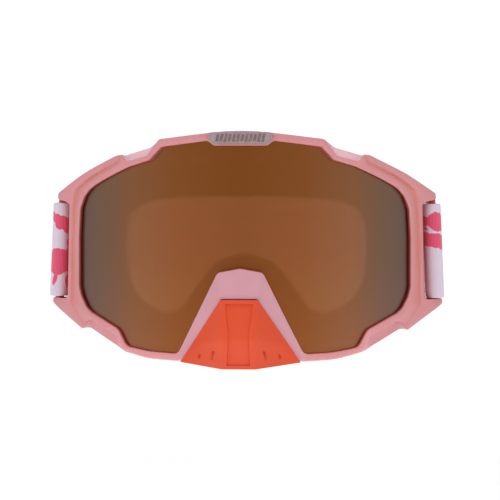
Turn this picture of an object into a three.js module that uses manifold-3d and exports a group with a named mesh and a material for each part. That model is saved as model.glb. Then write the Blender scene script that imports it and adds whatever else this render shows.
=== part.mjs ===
// Ski goggles with a removable nose guard and an elastic strap, in millimetres.
// +X is the wearer's left, -Y is the way the goggles look, +Z is up. The origin is the middle of the
// face opening. Every ring-shaped part is a loft through outlines that share one list of stations,
// which run clockwise from the top centre to the nose centre and are mirrored for the other half.
import * as THREE from "three";
import { mergeVertices } from "three/addons/utils/BufferGeometryUtils.js";
import Module from "manifold-3d";

const wasm = await Module();
wasm.setup();

// ---------- driving dimensions ----------
const LENS_RADIUS = 105; // outer lens, a cylinder about a vertical axis
const LENS_FRONT_Y = -48; // where that cylinder's front line is
const FACE_RADIUS = 88; // curve of the frame's face side, on either side of a flat brow
const FACE_FLAT = 5.8; // half width of the flat brow
const FACE_FRONT_Y = -26; // where the flat brow is
const FOAM_DEPTH = 18;
const FRAME_DEPTH = 8; // front shell, measured square to the lens
const GAP = 0.4; // clearance between touching pieces

const STRAP_WIDTH = 42.5;
const STRAP_THICKNESS = 1.6;
const BAR = { x: 86, y: 1.5, radius: 1.7, halfHeight: 22.6 };
const SLOT_INNER_X = 81.4; // wall of the ear behind the strap's slot
const BAR_LEAN = 0.045; // the bars and straps lean outwards towards the bottom, mm per mm
const LOOP_RADIUS = BAR.radius + 0.6; // inside of the webbing around the bar
const LAYER_OFFSET = STRAP_THICKNESS / 2 + 0.2; // each webbing layer from the strap's middle plane
const LOOP_CLOSES_Y = BAR.y + 13; // where the two layers come together behind the bar
const TAIL_END_Y = 86; // free end of the inner layer
const HINGE_Y = 96; // where the side straps bend into the rear band
const HINGE_GAP = 0.7;
const REAR_BULGE = 52; // how far the rear band curves back behind that
const FLAT_HALF = 14; // half of the flat stretch in the middle of the rear band

const SLIDER = { y: 57, length: 26, height: 50, thickness: 8.4, channel: 4.5, bar: 6 };
const BEAD = { height: 2.6, thickness: 0.6, spacing: 12.5 };

const lensAxisY = LENS_FRONT_Y + LENS_RADIUS;

// ---------- outlines, as [x, z] at each station of one half ----------
const LENS_EDGE = [
  [0, 46.8], [11.6, 46.8], [14.2, 48.9], [33.5, 46.6], [39, 40.7], [49.4, 38], [51, 37.3],
  [53, 36.4], [61, 32.7], [68.5, 28.6], [71.7, 24.4], [73.3, 19.2], [74, 7], [74.5, -15.8],
  [73.4, -20.1], [70.9, -24.9], [68.2, -27.2], [66.3, -28], [55.1, -33.6], [50.2, -40.9],
  [40, -42.1], [28.3, -42.4], [26.5, -41.5], [18.4, -25.1], [10.3, -8.6], [9.3, -7.5], [0, -5.8],
];
const SHELL_EDGE = [
  [0, 53], [11.6, 52.7], [14.2, 52.3], [35.6, 49.8], [41.2, 43.2], [51.3, 40.7], [53.1, 43.2],
  [55.4, 43], [70.9, 36], [79, 31.1], [86.7, 26.2], [87.2, 22.8], [88.1, 8], [90, -21.5],
  [90.4, -24.7], [81, -30.3], [72.7, -35.1], [69.5, -32], [56.6, -38.6], [53.2, -43.6],
  [41, -45.9], [27, -46.3], [24.6, -45.6], [16.3, -32], [7.9, -18.3], [7, -18.1], [0, -18],
];
const CHASSIS_EDGE = [
  [0, 48.2], [11.6, 48.1], [14.4, 48], [34.5, 47.2], [41.5, 46.3], [51.5, 43.4], [54, 42.5],
  [56.5, 41.4], [66, 36.5], [72, 31.5], [76, 26], [77.6, 19], [78, 7], [78, -17],
  [77.3, -22], [75.5, -29], [72.5, -34.5], [69, -37], [57, -43.2], [51, -44.9],
  [41, -46], [29, -46.2], [24.5, -44.5], [17, -28], [9.5, -15.5], [8, -14.8], [0, -14],
];
const FOAM_OUTER = [
  [0, 44.5], [11.6, 44.4], [14.4, 44.3], [33, 43.6], [39.5, 42.6], [48.5, 40.5], [51, 39.6],
  [54, 38.3], [62.5, 33.5], [67.5, 29], [70.8, 24], [72.2, 18], [73, 7], [73, -16],
  [72.3, -21], [70.2, -27], [67, -31.8], [63.5, -34.5], [54, -39.5], [48, -41.4],
  [40, -42.8], [31, -43.2], [27, -42], [20, -27.5], [12.5, -14.5], [10.5, -12.6], [0, -9.8],
];
const EYE_OPENING = [
  [0, 25], [9, 25], [12, 25], [27, 24.6], [33, 24.2], [39, 23.6], [41, 23.3],
  [43.5, 22.8], [49.5, 20.5], [52.5, 17.5], [54.3, 13.5], [55.2, 9.5], [55.6, 2.5], [54.6, -11],
  [53.6, -14.5], [51.2, -18.8], [48.5, -22], [46, -24], [40, -27.5], [36.5, -28.3],
  [32.5, -28], [29, -26.3], [27, -24], [19.5, -12.5], [12, -5], [10, -3.6], [0, -1.5],
];
// The groove that runs round the outside of the rim, from the brow notch to the lower corner.
const GROOVE = {
  7: [55.3, 40], 8: [66, 34.8], 9: [74.3, 30.6], 10: [77.8, 26.5], 11: [78.2, 21], 12: [78.6, 7.5],
  13: [79.3, -18], 14: [79.6, -23.3], 15: [76.2, -28], 16: [72.4, -31.6],
};
const GROOVE_DEPTH = 1.5;
// Steps between one station and the next, fine enough for the lens curve.
const STEPS = [2, 1, 3, 1, 2, 1, 1, 2, 2, 1, 1, 1, 2, 1, 1, 1, 1, 2, 1, 2, 2, 1, 2, 2, 1, 2];
const NOSE_START = 22; // first station on the nose cover
const BADGE_END = 2; // last station under the badge

// ---------- curves ----------
const frontY = (x, depth) => lensAxisY - Math.sqrt((LENS_RADIUS - depth) ** 2 - x * x);
const faceY = (x) => {
  const past = Math.max(0, Math.abs(x) - FACE_FLAT);
  return FACE_FRONT_Y + FACE_RADIUS - Math.sqrt(FACE_RADIUS ** 2 - past * past);
};
const mix = (a, b, t) => a.map((value, i) => value + (b[i] - value) * t);

// A point moved a given distance towards another one.
function towards([x, z], [tx, tz], distance) {
  const length = Math.hypot(tx - x, tz - z);
  return mix([x, z], [tx, tz], Math.min(1, distance / length));
}
const lensEdgePlus = (distance) => LENS_EDGE.map((p, i) => towards(p, SHELL_EDGE[i], distance));
const inside = (outline, distance) => outline.map((p, i) => towards(p, EYE_OPENING[i], distance));

// One closed loop of points round the goggles, from half an outline and a rule for y at each station.
function loop(half, yAt) {
  const points = [];
  for (let i = 0; i < STEPS.length; i++) {
    for (let s = 0; s < STEPS[i]; s++) {
      const [x, z] = mix(half[i], half[i + 1], s / STEPS[i]);
      points.push([x, yAt(x, i + s / STEPS[i]), z]);
    }
  }
  const [lastX, lastZ] = half.at(-1);
  points.push([lastX, yAt(lastX, half.length - 1), lastZ]);
  const left = points.slice(1, -1).reverse().map(([x, y, z]) => [-x, y, z]);
  return [...points, ...left];
}

// ---------- mesh builders ----------
function signedVolume(positions, index) {
  const [a, b, c] = [new THREE.Vector3(), new THREE.Vector3(), new THREE.Vector3()];
  let six = 0;
  for (let i = 0; i < index.length; i += 3) {
    a.fromArray(positions, index[i] * 3);
    b.fromArray(positions, index[i + 1] * 3);
    c.fromArray(positions, index[i + 2] * 3);
    six += a.dot(b.cross(c));
  }
  return six;
}

function closedGeometry(points, triangles) {
  const positions = points.flat();
  const index = triangles.flat();
  if (signedVolume(positions, index) < 0) index.reverse();
  const geometry = new THREE.BufferGeometry();
  geometry.setAttribute("position", new THREE.Float32BufferAttribute(positions, 3));
  geometry.setIndex(index);
  return geometry;
}

// A ring whose section, at each point round it, joins the same point of every loop.
function ringGeometry(loops) {
  const around = loops[0].length;
  const across = loops.length;
  const points = loops.flat();
  const span = (a, b) => Math.hypot(...points[a].map((value, k) => value - points[b][k]));
  const triangles = [];
  for (let i = 0; i < around; i++) {
    for (let j = 0; j < across; j++) {
      const [i2, j2] = [(i + 1) % around, (j + 1) % across];
      const [a, b, c, d] = [j * around + i, j * around + i2, j2 * around + i2, j2 * around + i];
      if (span(a, c) <= span(b, d)) triangles.push([a, b, c], [a, c, d]);
      else triangles.push([a, b, d], [b, c, d]);
    }
  }
  return closedGeometry(points, triangles);
}

// A bar whose sections are polygons with the same number of corners, with flat ends.
function loftGeometry(sections) {
  const corners = sections[0].length;
  const last = (sections.length - 1) * corners;
  const triangles = [];
  for (let s = 0; s < sections.length - 1; s++) {
    for (let c = 0; c < corners; c++) {
      const [a, b] = [s * corners + c, s * corners + ((c + 1) % corners)];
      triangles.push([a, b, b + corners], [a, b + corners, a + corners]);
    }
  }
  for (const [a, b, c] of capTriangles(sections[0])) triangles.push([c, b, a]);
  for (const [a, b, c] of capTriangles(sections.at(-1))) triangles.push([last + a, last + b, last + c]);
  return closedGeometry(sections.flat(), triangles);
}

// A section's flat end, each triangle turning the same way as the section's corners.
function capTriangles(section) {
  const reach = (k) => Math.max(...section.map((p) => p[k])) - Math.min(...section.map((p) => p[k]));
  const [i, j] = [0, 1, 2].sort((a, b) => reach(b) - reach(a));
  const outline = section.map((p) => new THREE.Vector2(p[i], p[j]));
  const turn = Math.sign(THREE.ShapeUtils.area(outline));
  return THREE.ShapeUtils.triangulateShape(outline, []).map(([a, b, c]) => {
    const same = Math.sign(THREE.ShapeUtils.area([outline[a], outline[b], outline[c]])) === turn;
    return same ? [a, b, c] : [c, b, a];
  });
}

function solid(geometry) {
  const bare = (geometry.index ? geometry.toNonIndexed() : geometry).clone();
  for (const name of Object.keys(bare.attributes)) if (name !== "position") bare.deleteAttribute(name);
  const merged = mergeVertices(bare, 1e-4);
  return new wasm.Manifold(
    new wasm.Mesh({
      numProp: 3,
      vertProperties: merged.attributes.position.array,
      triVerts: new Uint32Array(merged.index.array),
    }),
  );
}

function fromSolid(made) {
  const { numProp, vertProperties, triVerts } = made.getMesh();
  const positions = [];
  for (let i = 0; i < vertProperties.length; i += numProp) positions.push(...vertProperties.slice(i, i + 3));
  const geometry = new THREE.BufferGeometry();
  geometry.setAttribute("position", new THREE.Float32BufferAttribute(positions, 3));
  geometry.setIndex([...triVerts]);
  return geometry;
}

// The same piece on the other side, its faces still outwards.
function mirrored(geometry) {
  geometry.scale(-1, 1, 1);
  geometry.index.array.reverse();
  return geometry;
}

function box([x0, x1], [y0, y1], [z0, z1]) {
  const geometry = new THREE.BoxGeometry(x1 - x0, y1 - y0, z1 - z0);
  return geometry.translate((x0 + x1) / 2, (y0 + y1) / 2, (z0 + z1) / 2);
}

// A closed outline in the XZ plane, pushed through the whole depth of the lens.
function prism(points) {
  const shape = new THREE.Shape(points.map(([x, , z]) => new THREE.Vector2(x, z)));
  const geometry = new THREE.ExtrudeGeometry(shape, { depth: 90, bevelEnabled: false });
  return geometry.rotateX(Math.PI / 2).translate(0, 30, 0);
}

// The part of the lens cylinder's wall between two depths behind its front face.
function lensWall(front, back) {
  const [outer, inner] = [LENS_RADIUS - front, LENS_RADIUS - back];
  const profile = [[inner, -70], [outer, -70], [outer, 70], [inner, 70], [inner, -70]];
  const wall = new THREE.LatheGeometry(profile.map(([r, z]) => new THREE.Vector2(r, z)), 120);
  return wall.rotateX(Math.PI / 2).translate(0, lensAxisY, 0);
}

const curvedPlate = (half, front, back) =>
  solid(prism(loop(half, () => 0))).intersect(solid(lensWall(front, back)));

// ---------- materials ----------
const paint = (color, roughness, metalness = 0) =>
  new THREE.MeshStandardMaterial({ color, roughness, metalness });
const MATERIALS = {
  pink: paint(0xd79aa0, 0.5),
  coral: paint(0xe2573a, 0.45),
  lens: paint(0x7a4a26, 0.08, 0.6),
  clear: paint(0xd8dcdc, 0.1),
  gasket: paint(0x1c1c1e, 0.95),
  ventFoam: paint(0x26262a, 1),
  faceFoam: paint(0x2c2c30, 0.95),
  fleece: paint(0x17171a, 1),
  badge: paint(0x9a8588, 0.35, 0.7),
  webbing: paint(0xcfc4d4, 0.9),
  buckle: paint(0xd9d2da, 0.4),
  silicone: paint(0xe8b6c4, 0.6),
};

const goggles = new THREE.Group();
function add(name, geometry, material) {
  const mesh = new THREE.Mesh(geometry, material);
  mesh.name = name;
  goggles.add(mesh);
}

// ---------- front shell: rim, nose cover, ears and strap bars ----------
const NOSE_RIDGE_Y = { 22: -46.5, 23: -52.6, 24: -58.6, 25: -58.8, 26: -58.8 };
const NOSE_WALL = 3;
function byStation(values, fallback) {
  return (x, i) => {
    const [low, high] = [Math.floor(i), Math.ceil(i)];
    if (values[low] === undefined || values[high] === undefined) return fallback(x, i);
    return values[low] + (values[high] - values[low]) * (i - low);
  };
}

function frontShell() {
  const crest = lensEdgePlus(1.7);
  const groove = SHELL_EDGE.map((p, i) => GROOVE[i] ?? mix(LENS_EDGE[i], p, 0.8));
  const pocket = lensEdgePlus(2.7);
  const crestDepth = (i) => (i <= BADGE_END ? 0 : -0.5);
  const grooveDepth = (i) => (i >= 7 && i <= 16 ? GROOVE_DEPTH : 0);
  const onFront = (depthAt) => (x, i) => frontY(x, depthAt(i));
  const earBack = (x, i) => frontY(x, 1) + (i > 8 && i < 17 ? 6 : FRAME_DEPTH - 1);
  const coverFront = byStation(NOSE_RIDGE_Y, onFront(() => 1));
  const noseMiddle = (t) => (x, i) => {
    const edge = frontY(x, 0);
    return edge + (coverFront(x, i) - edge) * t;
  };
  const coverOr = (t, other) => (x, i) => (i >= NOSE_START ? noseMiddle(t)(x, i) : other(x, i));
  const ring = ringGeometry([
    loop(LENS_EDGE, onFront(() => 0)),
    loop(crest, coverOr(0.2, onFront(crestDepth))),
    loop(groove, coverOr(0.8, onFront(grooveDepth))),
    loop(SHELL_EDGE, coverFront),
    loop(SHELL_EDGE, (x, i) => (i >= NOSE_START ? coverFront(x, i) + NOSE_WALL : earBack(x, i))),
    loop(pocket, onFront(() => FRAME_DEPTH)),
    loop(pocket, onFront(() => 2.2)),
    loop(LENS_EDGE, onFront(() => 2.2)),
  ]);
  let shell = solid(ring);
  for (const side of [1, -1]) {
    const across = [side * SLOT_INNER_X, side * (BAR.x + 10)].sort((a, b) => a - b);
    const gap = box(across, [-30, 30], [-BAR.halfHeight, BAR.halfHeight]);
    const bar = new THREE.CylinderGeometry(BAR.radius, BAR.radius, 2 * BAR.halfHeight + 2, 14);
    bar.rotateX(Math.PI / 2).translate(side * BAR.x, BAR.y, 0);
    shell = shell.subtract(solid(leaning(gap))).add(solid(leaning(bar)));
  }
  return fromSolid(shell);
}

// Leans the strap bars, straps and sliders outwards towards the bottom, less and less round the back.
function leaning(geometry) {
  const position = geometry.attributes.position;
  for (let i = 0; i < position.count; i++) {
    const [x, y, z] = [position.getX(i), position.getY(i), position.getZ(i)];
    const share = Math.min(1, Math.max(0, 1 - (y - HINGE_Y) / REAR_BULGE));
    position.setX(i, x - Math.sign(x) * BAR_LEAN * z * share);
  }
  return geometry;
}

// ---------- chassis behind the lens, a channel that opens inwards ----------
function chassis() {
  const frontDepth = FRAME_DEPTH + GAP;
  const wall = 2.2;
  const flange = 1.8;
  const frontEdge = SHELL_EDGE.map((p, i) => {
    if (i >= NOSE_START) return mix(LENS_EDGE[i], CHASSIS_EDGE[i], 0.9);
    return i > 8 && i < 17 ? mix(CHASSIS_EDGE[i], LENS_EDGE[i], 0.1) : towards(p, LENS_EDGE[i], -0.2);
  });
  const lip = LENS_EDGE.map((p, i) => mix(p, EYE_OPENING[i], 0.17));
  const front = (x) => frontY(x, frontDepth);
  const frontBack = (x) => frontY(x, frontDepth) + flange;
  let made = solid(
    ringGeometry([
      loop(lip, front),
      loop(frontEdge, front),
      loop(CHASSIS_EDGE, faceY),
      loop(inside(CHASSIS_EDGE, 9), faceY),
      loop(inside(CHASSIS_EDGE, 9), (x) => faceY(x) - flange),
      loop(inside(CHASSIS_EDGE, wall), (x) => faceY(x) - flange),
      loop(inside(frontEdge, wall), frontBack),
      loop(lip, frontBack),
    ]),
  );
  for (const x of [-27, -9, 9, 27]) made = made.subtract(solid(ventCut(x, 12, [40, 60])));
  for (const x of [-46, -33, 33, 46]) made = made.subtract(solid(ventCut(x, 8, [-60, -38])));
  return fromSolid(made);
}

// A slot through the chassis wall, half way between its front and its face side.
function ventCut(x, width, z) {
  const middle = (frontY(x, FRAME_DEPTH + 1) + faceY(x)) / 2 + 0.4;
  return box([x - width / 2, x + width / 2], [middle - 2.4, middle + 2.4], z);
}

// A strip of thin foam inside the chassis wall, over its vents, between two stations.
function ventFoam(from, to, side) {
  const outer = inside(CHASSIS_EDGE, 3.4);
  const inner = inside(CHASSIS_EDGE, 4.9);
  const sections = [];
  const steps = 3 * (to - from);
  for (let s = 0; s <= steps; s++) {
    const at = from + s / 3;
    const [low, t] = [Math.min(Math.floor(at), to - 1), at - Math.min(Math.floor(at), to - 1)];
    const [ox, oz] = mix(outer[low], outer[low + 1], t);
    const [ix, iz] = mix(inner[low], inner[low + 1], t);
    const front = (x) => frontY(x, FRAME_DEPTH + GAP) + 2.6;
    const back = (x) => faceY(x) - 2.6;
    sections.push([[ox, front(ox), oz], [ox, back(ox), oz], [ix, back(ix), iz], [ix, front(ix), iz]]);
  }
  if (side === "both") {
    const mirrored = sections.slice(1).reverse().map((s) => s.map(([x, y, z]) => [-x, y, z]));
    return loftGeometry([...mirrored, ...sections]);
  }
  return loftGeometry(sections.map((s) => s.map(([x, y, z]) => [side * x, y, z])));
}

// ---------- lens ----------
const lensGasket = () =>
  curvedPlate(lensEdgePlus(1.6), 4.4, 6.4).subtract(
    solid(prism(loop(LENS_EDGE.map((p, i) => mix(p, EYE_OPENING[i], 0.1)), () => 0))),
  );

// ---------- face foam, in layers, as shares of its depth ----------
function foamRing(from, to) {
  const outerAt = (t) => inside(CHASSIS_EDGE, 0.8).map((p, i) => mix(p, FOAM_OUTER[i], t));
  const innerAt = (t) => inside(CHASSIS_EDGE, 9.6).map((p, i) => mix(p, EYE_OPENING[i], t));
  const yAt = (t) => (x) => faceY(x) + FOAM_DEPTH * t;
  return ringGeometry([
    loop(innerAt(from), yAt(from)),
    loop(outerAt(from), yAt(from)),
    loop(outerAt(to), yAt(to)),
    loop(innerAt(to), yAt(to)),
  ]);
}

// ---------- badge on the brow ----------
function browBadge() {
  const outline = [
    [-13.9, 0, 49.1], [-11.7, 0, 47.3], [11.7, 0, 47.3], [13.9, 0, 49.1], [13.9, 0, 52.2],
    [7, 0, 52.9], [0, 0, 53.1], [-7, 0, 52.9], [-13.9, 0, 52.2],
  ];
  return fromSolid(solid(prism(outline)).intersect(solid(lensWall(-1.6, -0.3))));
}

// ---------- nose guard: a folded shell that pulls off forwards ----------
function noseGuard() {
  const wall = 2.2;
  const levels = [
    // z, y of the middle panel, half width at the side edge, y of the side edge
    [-18.8, -59.6, 7.6, -59.4],
    [-34, -66.6, 17.7, -52.6],
    [-39.2, -66.2, 21.1, -51.1],
    [-45.6, -65.6, 25.3, -48.9],
    [-47.3, -65.4, 25.3, -48.7],
  ];
  const sections = levels.map(([z, frontAt, side, sideY]) => {
    const fold = Math.min(7.4, side - 0.2);
    const back = Math.min(fold - 0.8, side - 1.8);
    return [
      [side, sideY, z], [fold, frontAt, z], [-fold, frontAt, z], [-side, sideY, z],
      [-side + 1.5, sideY + wall, z], [-back, frontAt + wall, z],
      [back, frontAt + wall, z], [side - 1.5, sideY + wall, z],
    ];
  });
  let guard = solid(loftGeometry(sections));
  for (const side of [1, -1]) {
    const tongue = new THREE.BoxGeometry(1.8, 9, 7).translate(side * 17.5, -47.5, -39.5);
    guard = guard.add(solid(tongue));
  }
  return fromSolid(guard);
}

// ---------- strap ----------
const stripExtrude = (points, height, z = 0) =>
  new THREE.ExtrudeGeometry(new THREE.Shape(points.map(([x, y]) => new THREE.Vector2(x, y))), {
    depth: height,
    bevelEnabled: false,
  }).translate(0, 0, z - height / 2);

// Webbing from the rear joint, round the bar and back to its free end: a hairpin in plan.
function sideStrap(side) {
  const half = STRAP_THICKNESS / 2;
  const outsideOf = (radius, layer) => {
    const points = [[layer, LOOP_CLOSES_Y - BAR.y]];
    for (let k = 0; k <= 8; k++) {
      const angle = -(Math.PI * k) / 8;
      points.push([radius * Math.cos(angle), radius * Math.sin(angle)]);
    }
    points.push([-layer, LOOP_CLOSES_Y - BAR.y]);
    return points;
  };
  const outer = outsideOf(LOOP_RADIUS + STRAP_THICKNESS, LAYER_OFFSET + half);
  const inner = outsideOf(LOOP_RADIUS, LAYER_OFFSET - half);
  const endOuter = HINGE_Y - HINGE_GAP - BAR.y;
  const endTail = TAIL_END_Y - BAR.y;
  const points = [
    [LAYER_OFFSET + half, endOuter], ...outer, [-LAYER_OFFSET - half, endTail],
    [-LAYER_OFFSET + half, endTail], ...inner.reverse(), [LAYER_OFFSET - half, endOuter],
  ].map(([x, y]) => [side * (x + BAR.x), y + BAR.y]);
  return leaning(stripExtrude(points, STRAP_WIDTH));
}

// Half the plan of the rear band, from the hinge to the middle of the back.
function rearPath(offset, from = 0) {
  const reach = BAR.x + LAYER_OFFSET;
  const points = from ? [] : [[reach + offset, HINGE_Y + HINGE_GAP]];
  const start = HINGE_Y + HINGE_GAP;
  for (let k = 1; k <= 10; k++) {
    const angle = (Math.acos(FLAT_HALF / reach) * k) / 10;
    if (angle < from) continue;
    points.push([(reach + offset) * Math.cos(angle), start + (REAR_BULGE + offset) * Math.sin(angle)]);
  }
  const [, flatY] = points.at(-1);
  points[points.length - 1] = [FLAT_HALF, flatY];
  return points;
}

function rearStrip(inner, outer, height, z = 0, from = 0) {
  const mirror = (points) => points.map(([x, y]) => [-x, y]).reverse();
  const [near, far] = [rearPath(inner, from), rearPath(outer, from)];
  return leaning(stripExtrude([...far, ...mirror(far), ...mirror(near).reverse(), ...near.reverse()], height, z));
}

// ---------- strap slider: two bars outside the webbing and one inside ----------
function strapSlider(side) {
  const { y, length, height, thickness, channel, bar } = SLIDER;
  const [x0, x1] = [BAR.x - thickness / 2, BAR.x + thickness / 2];
  const web = STRAP_WIDTH / 2 + 0.6;
  const window = web - 1.5;
  const ends = [y - length / 2, y + length / 2];
  let made = solid(box([x0, x1], ends, [-height / 2, height / 2]));
  const cuts = [
    box([BAR.x - channel / 2, BAR.x + channel / 2], [0, 200], [-web, web]),
    box([BAR.x, x1 + 5], [ends[0] + bar, ends[1] - bar], [-window, window]),
    box([x0 - 5, BAR.x], [0, y - bar / 2], [-window, window]),
    box([x0 - 5, BAR.x], [y + bar / 2, 200], [-window, window]),
  ];
  for (const cut of cuts) made = made.subtract(solid(cut));
  const geometry = leaning(fromSolid(made));
  return side > 0 ? geometry : mirrored(geometry);
}

// ---------- assembly ----------
add("front_shell", frontShell(), MATERIALS.pink);
add("face_chassis", chassis(), MATERIALS.pink);
add("outer_lens", fromSolid(curvedPlate(lensEdgePlus(2.2), 2.6, 4)), MATERIALS.lens);
add("lens_gasket", fromSolid(lensGasket()), MATERIALS.gasket);
add("inner_lens", fromSolid(curvedPlate(lensEdgePlus(1.6), 6.8, 7.8)), MATERIALS.clear);
add("brow_badge", browBadge(), MATERIALS.badge);
add("nose_guard", noseGuard(), MATERIALS.coral);
add("top_vent_foam", ventFoam(0, 3, "both"), MATERIALS.ventFoam);
add("lower_vent_foam_left", ventFoam(19, 21, 1), MATERIALS.ventFoam);
add("lower_vent_foam_right", ventFoam(19, 21, -1), MATERIALS.ventFoam);
add("face_foam_firm", foamRing(0.03, 0.45), MATERIALS.faceFoam);
add("face_foam_soft", foamRing(0.48, 0.86), MATERIALS.faceFoam);
add("face_fleece", foamRing(0.89, 1), MATERIALS.fleece);
for (const [name, side] of [["left", 1], ["right", -1]]) {
  add(`side_strap_${name}`, sideStrap(side), MATERIALS.webbing);
  add(`strap_slider_${name}`, strapSlider(side), MATERIALS.buckle);
}
const half = STRAP_THICKNESS / 2;
add("rear_strap", rearStrip(-half, half, STRAP_WIDTH), MATERIALS.webbing);
for (const [name, level] of [["upper", 1], ["middle", 0], ["lower", -1]]) {
  const [near, far] = [-half - 0.3 - BEAD.thickness, -half - 0.3];
  const bead = rearStrip(near, far, BEAD.height, level * BEAD.spacing, 0.4);
  add(`grip_bead_${name}`, bead, MATERIALS.silicone);
}

export default goggles;
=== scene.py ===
"""Ski goggles, drawn round their CAD frame. Sizes here are millimetres; MM turns them into metres."""
import math
import random

import bmesh
import bpy
import numpy as np
from mathutils import Matrix, Vector


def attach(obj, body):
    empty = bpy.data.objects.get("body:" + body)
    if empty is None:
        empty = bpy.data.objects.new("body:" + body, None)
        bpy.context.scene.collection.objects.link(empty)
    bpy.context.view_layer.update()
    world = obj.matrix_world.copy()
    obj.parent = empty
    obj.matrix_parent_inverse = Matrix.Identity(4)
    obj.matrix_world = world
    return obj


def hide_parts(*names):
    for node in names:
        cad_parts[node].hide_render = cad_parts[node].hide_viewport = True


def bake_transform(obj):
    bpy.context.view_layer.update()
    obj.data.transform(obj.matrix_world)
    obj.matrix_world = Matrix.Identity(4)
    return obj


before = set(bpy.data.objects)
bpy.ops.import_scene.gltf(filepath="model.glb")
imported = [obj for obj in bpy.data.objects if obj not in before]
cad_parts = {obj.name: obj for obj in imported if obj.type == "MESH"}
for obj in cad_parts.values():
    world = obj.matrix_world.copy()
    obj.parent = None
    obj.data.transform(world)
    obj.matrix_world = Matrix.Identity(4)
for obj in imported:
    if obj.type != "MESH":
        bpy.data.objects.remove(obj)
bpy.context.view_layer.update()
MM = 0.001

# ---------- sizes shared with the frame ----------
LENS_RADIUS = 105.0
LENS_FRONT_Y = -48.0
LENS_AXIS_Y = LENS_FRONT_Y + LENS_RADIUS
FACE_RADIUS = 88.0
FACE_FLAT = 5.8
FACE_FRONT_Y = -26.0
FOAM_DEPTH = 18.0
SHELL_DEPTH = 8.0
BAR_X, BAR_Y, BAR_RADIUS, BAR_HALF = 86.0, 1.5, 1.7, 22.6
BAR_WIDE = 1.22  # the bar is drawn a little flatter than round
LEAN = 0.045
HINGE_Y = 96.0
REAR_Y = HINGE_Y + 0.7  # where the rear band's curve starts
REAR_BULGE = 52.0  # how far it goes back from there
REAR_REACH = 87.0  # half of its width
REAR_FLAT = 14  # half of its flat middle
STRAP_WIDTH, STRAP_THICKNESS = 42.5, 1.6
LAYER_OFFSET = 1.0
LOOP_RADIUS = BAR_RADIUS + 0.6
LOOP_CLOSES = 13.0  # how far behind the bar the two layers of webbing come together
TAIL_END_Y = 86.0
SLIDER_Y = 57.0


def front_y(x, depth=0.0):
    """The lens's front surface, or one that many millimetres behind it, square to it."""
    return LENS_AXIS_Y - np.sqrt((LENS_RADIUS - depth) ** 2 - np.square(x))


def face_y(x):
    past = np.maximum(0.0, np.abs(x) - FACE_FLAT)
    return FACE_FRONT_Y + FACE_RADIUS - np.sqrt(FACE_RADIUS ** 2 - past ** 2)


# ---------- outlines ----------
# The shell at each station: lens edge, outer edge, groove, and how far its back edge flares beyond
# the outer edge, all [x, z]; then how much the corner there is rounded.
SHELL = [
    ((0, 46.8), (0, 53), None, (0, 0), 0),
    ((11.6, 46.8), (11.6, 52.7), None, (0, 0), 1.0),
    ((14.2, 48.9), (14.2, 52.3), None, (0, 0), 1.0),
    ((34.8, 46.5), (35.8, 49.8), None, (0.1, 0.1), 0.8),
    ((40.2, 40.8), (41.3, 42.6), None, (-1.1, 3.9), 0.8),
    ((49.4, 38), (50.9, 40.2), None, (1.7, 2.8), 0.5),
    ((51, 37.3), (53.1, 42.9), None, (0.5, 0.5), 0.4),
    ((53, 36.4), (55.4, 43.1), (54.9, 39.9), (0.5, 0.2), 0.9),
    ((61, 32.7), (70.9, 36), (63.9, 35.7), (0, 0), 4.0),
    ((68.5, 28.6), (79, 31.1), (71.6, 31.2), (0, 0), 4.0),
    ((71.7, 24.6), (86.9, 26.1), (75.9, 28.0), (0, 0), 0.4),
    ((72.4, 22.9), (87.2, 23.3), (76.7, 25.0), (0, 0), 0.5),
    ((72.8, 21.9), (82.3, 22.4), (77.0, 23.2), (0.2, -0.1), 0.5),
    ((73.8, 19.2), (80.2, 21.3), (77.3, 20.2), (0.7, 0), 1.0),
    ((74.6, 7), (80.6, 8), (78.1, 7.5), (0.7, 0), 3.0),
    ((74.7, -15.8), (81.4, -21.1), (78.8, -18), (0.6, 0), 1.0),
    ((73.5, -20.1), (83.0, -22.25), (78.9, -21.4), (0, 0), 0.6),
    ((72.9, -21.2), (90.6, -22.4), (78.8, -22.6), (0, 0), 0.5),
    ((71.95, -22.9), (90.8, -25), (78.4, -24), (0, 0), 0.6),
    ((70.9, -24.9), (81.2, -30.3), (75.5, -27.6), (0, 0), 2.0),
    ((68.2, -27.2), (73, -35.4), (72.2, -32.2), (0, 0.2), 0.5),
    ((66.3, -28), (67.7, -30.3), None, (2.3, -4.7), 0.5),
    ((55.1, -33.6), (56.2, -36.2), None, (1.2, -5.4), 1.4),
    ((51, -41), (53, -43.2), None, (0.4, -0.8), 2.0),
    ((40, -42.7), (41, -45.9), None, (0, 0), 3.0),
    ((28.6, -43.1), (27, -46.4), None, (0, 0), 1.0),
    ((26.8, -42.1), (24.6, -45.6), None, (0, 0), 1.4),
    ((18.4, -25.1), (16.3, -32), None, (-2, 0), 3.0),
    ((10.3, -8.6), (7.9, -18.3), None, (-1.5, -3), 0.8),
    ((9.3, -7.5), (7, -18.1), None, (-0.8, -3.2), 0.8),
    ((0, -5.8), (0, -18), None, (0, -3.2), 0),
]
NOSE_AT = 26  # first station of the nose cover
EARS = range(10, 20)
# How much of the full groove is there, at the stations where it fades in and out.
GROOVE_SHARE = {7: 0.45, 8: 0.95, 17: 0.9, 18: 0.6, 19: 0.25, 20: 0.15}
FACETS = [4, 5, 21, 22]  # stations whose side is a facet with a crisp front edge
# How far the nose cover stands in front of the lens, at its inner and at its outer edge.
NOSE_LIFT = {26: (1.2, 1.6), 27: (3.0, 6.0), 28: (3.2, 11.0), 29: (3.2, 11.1), 30: (3.2, 11.0)}

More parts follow.
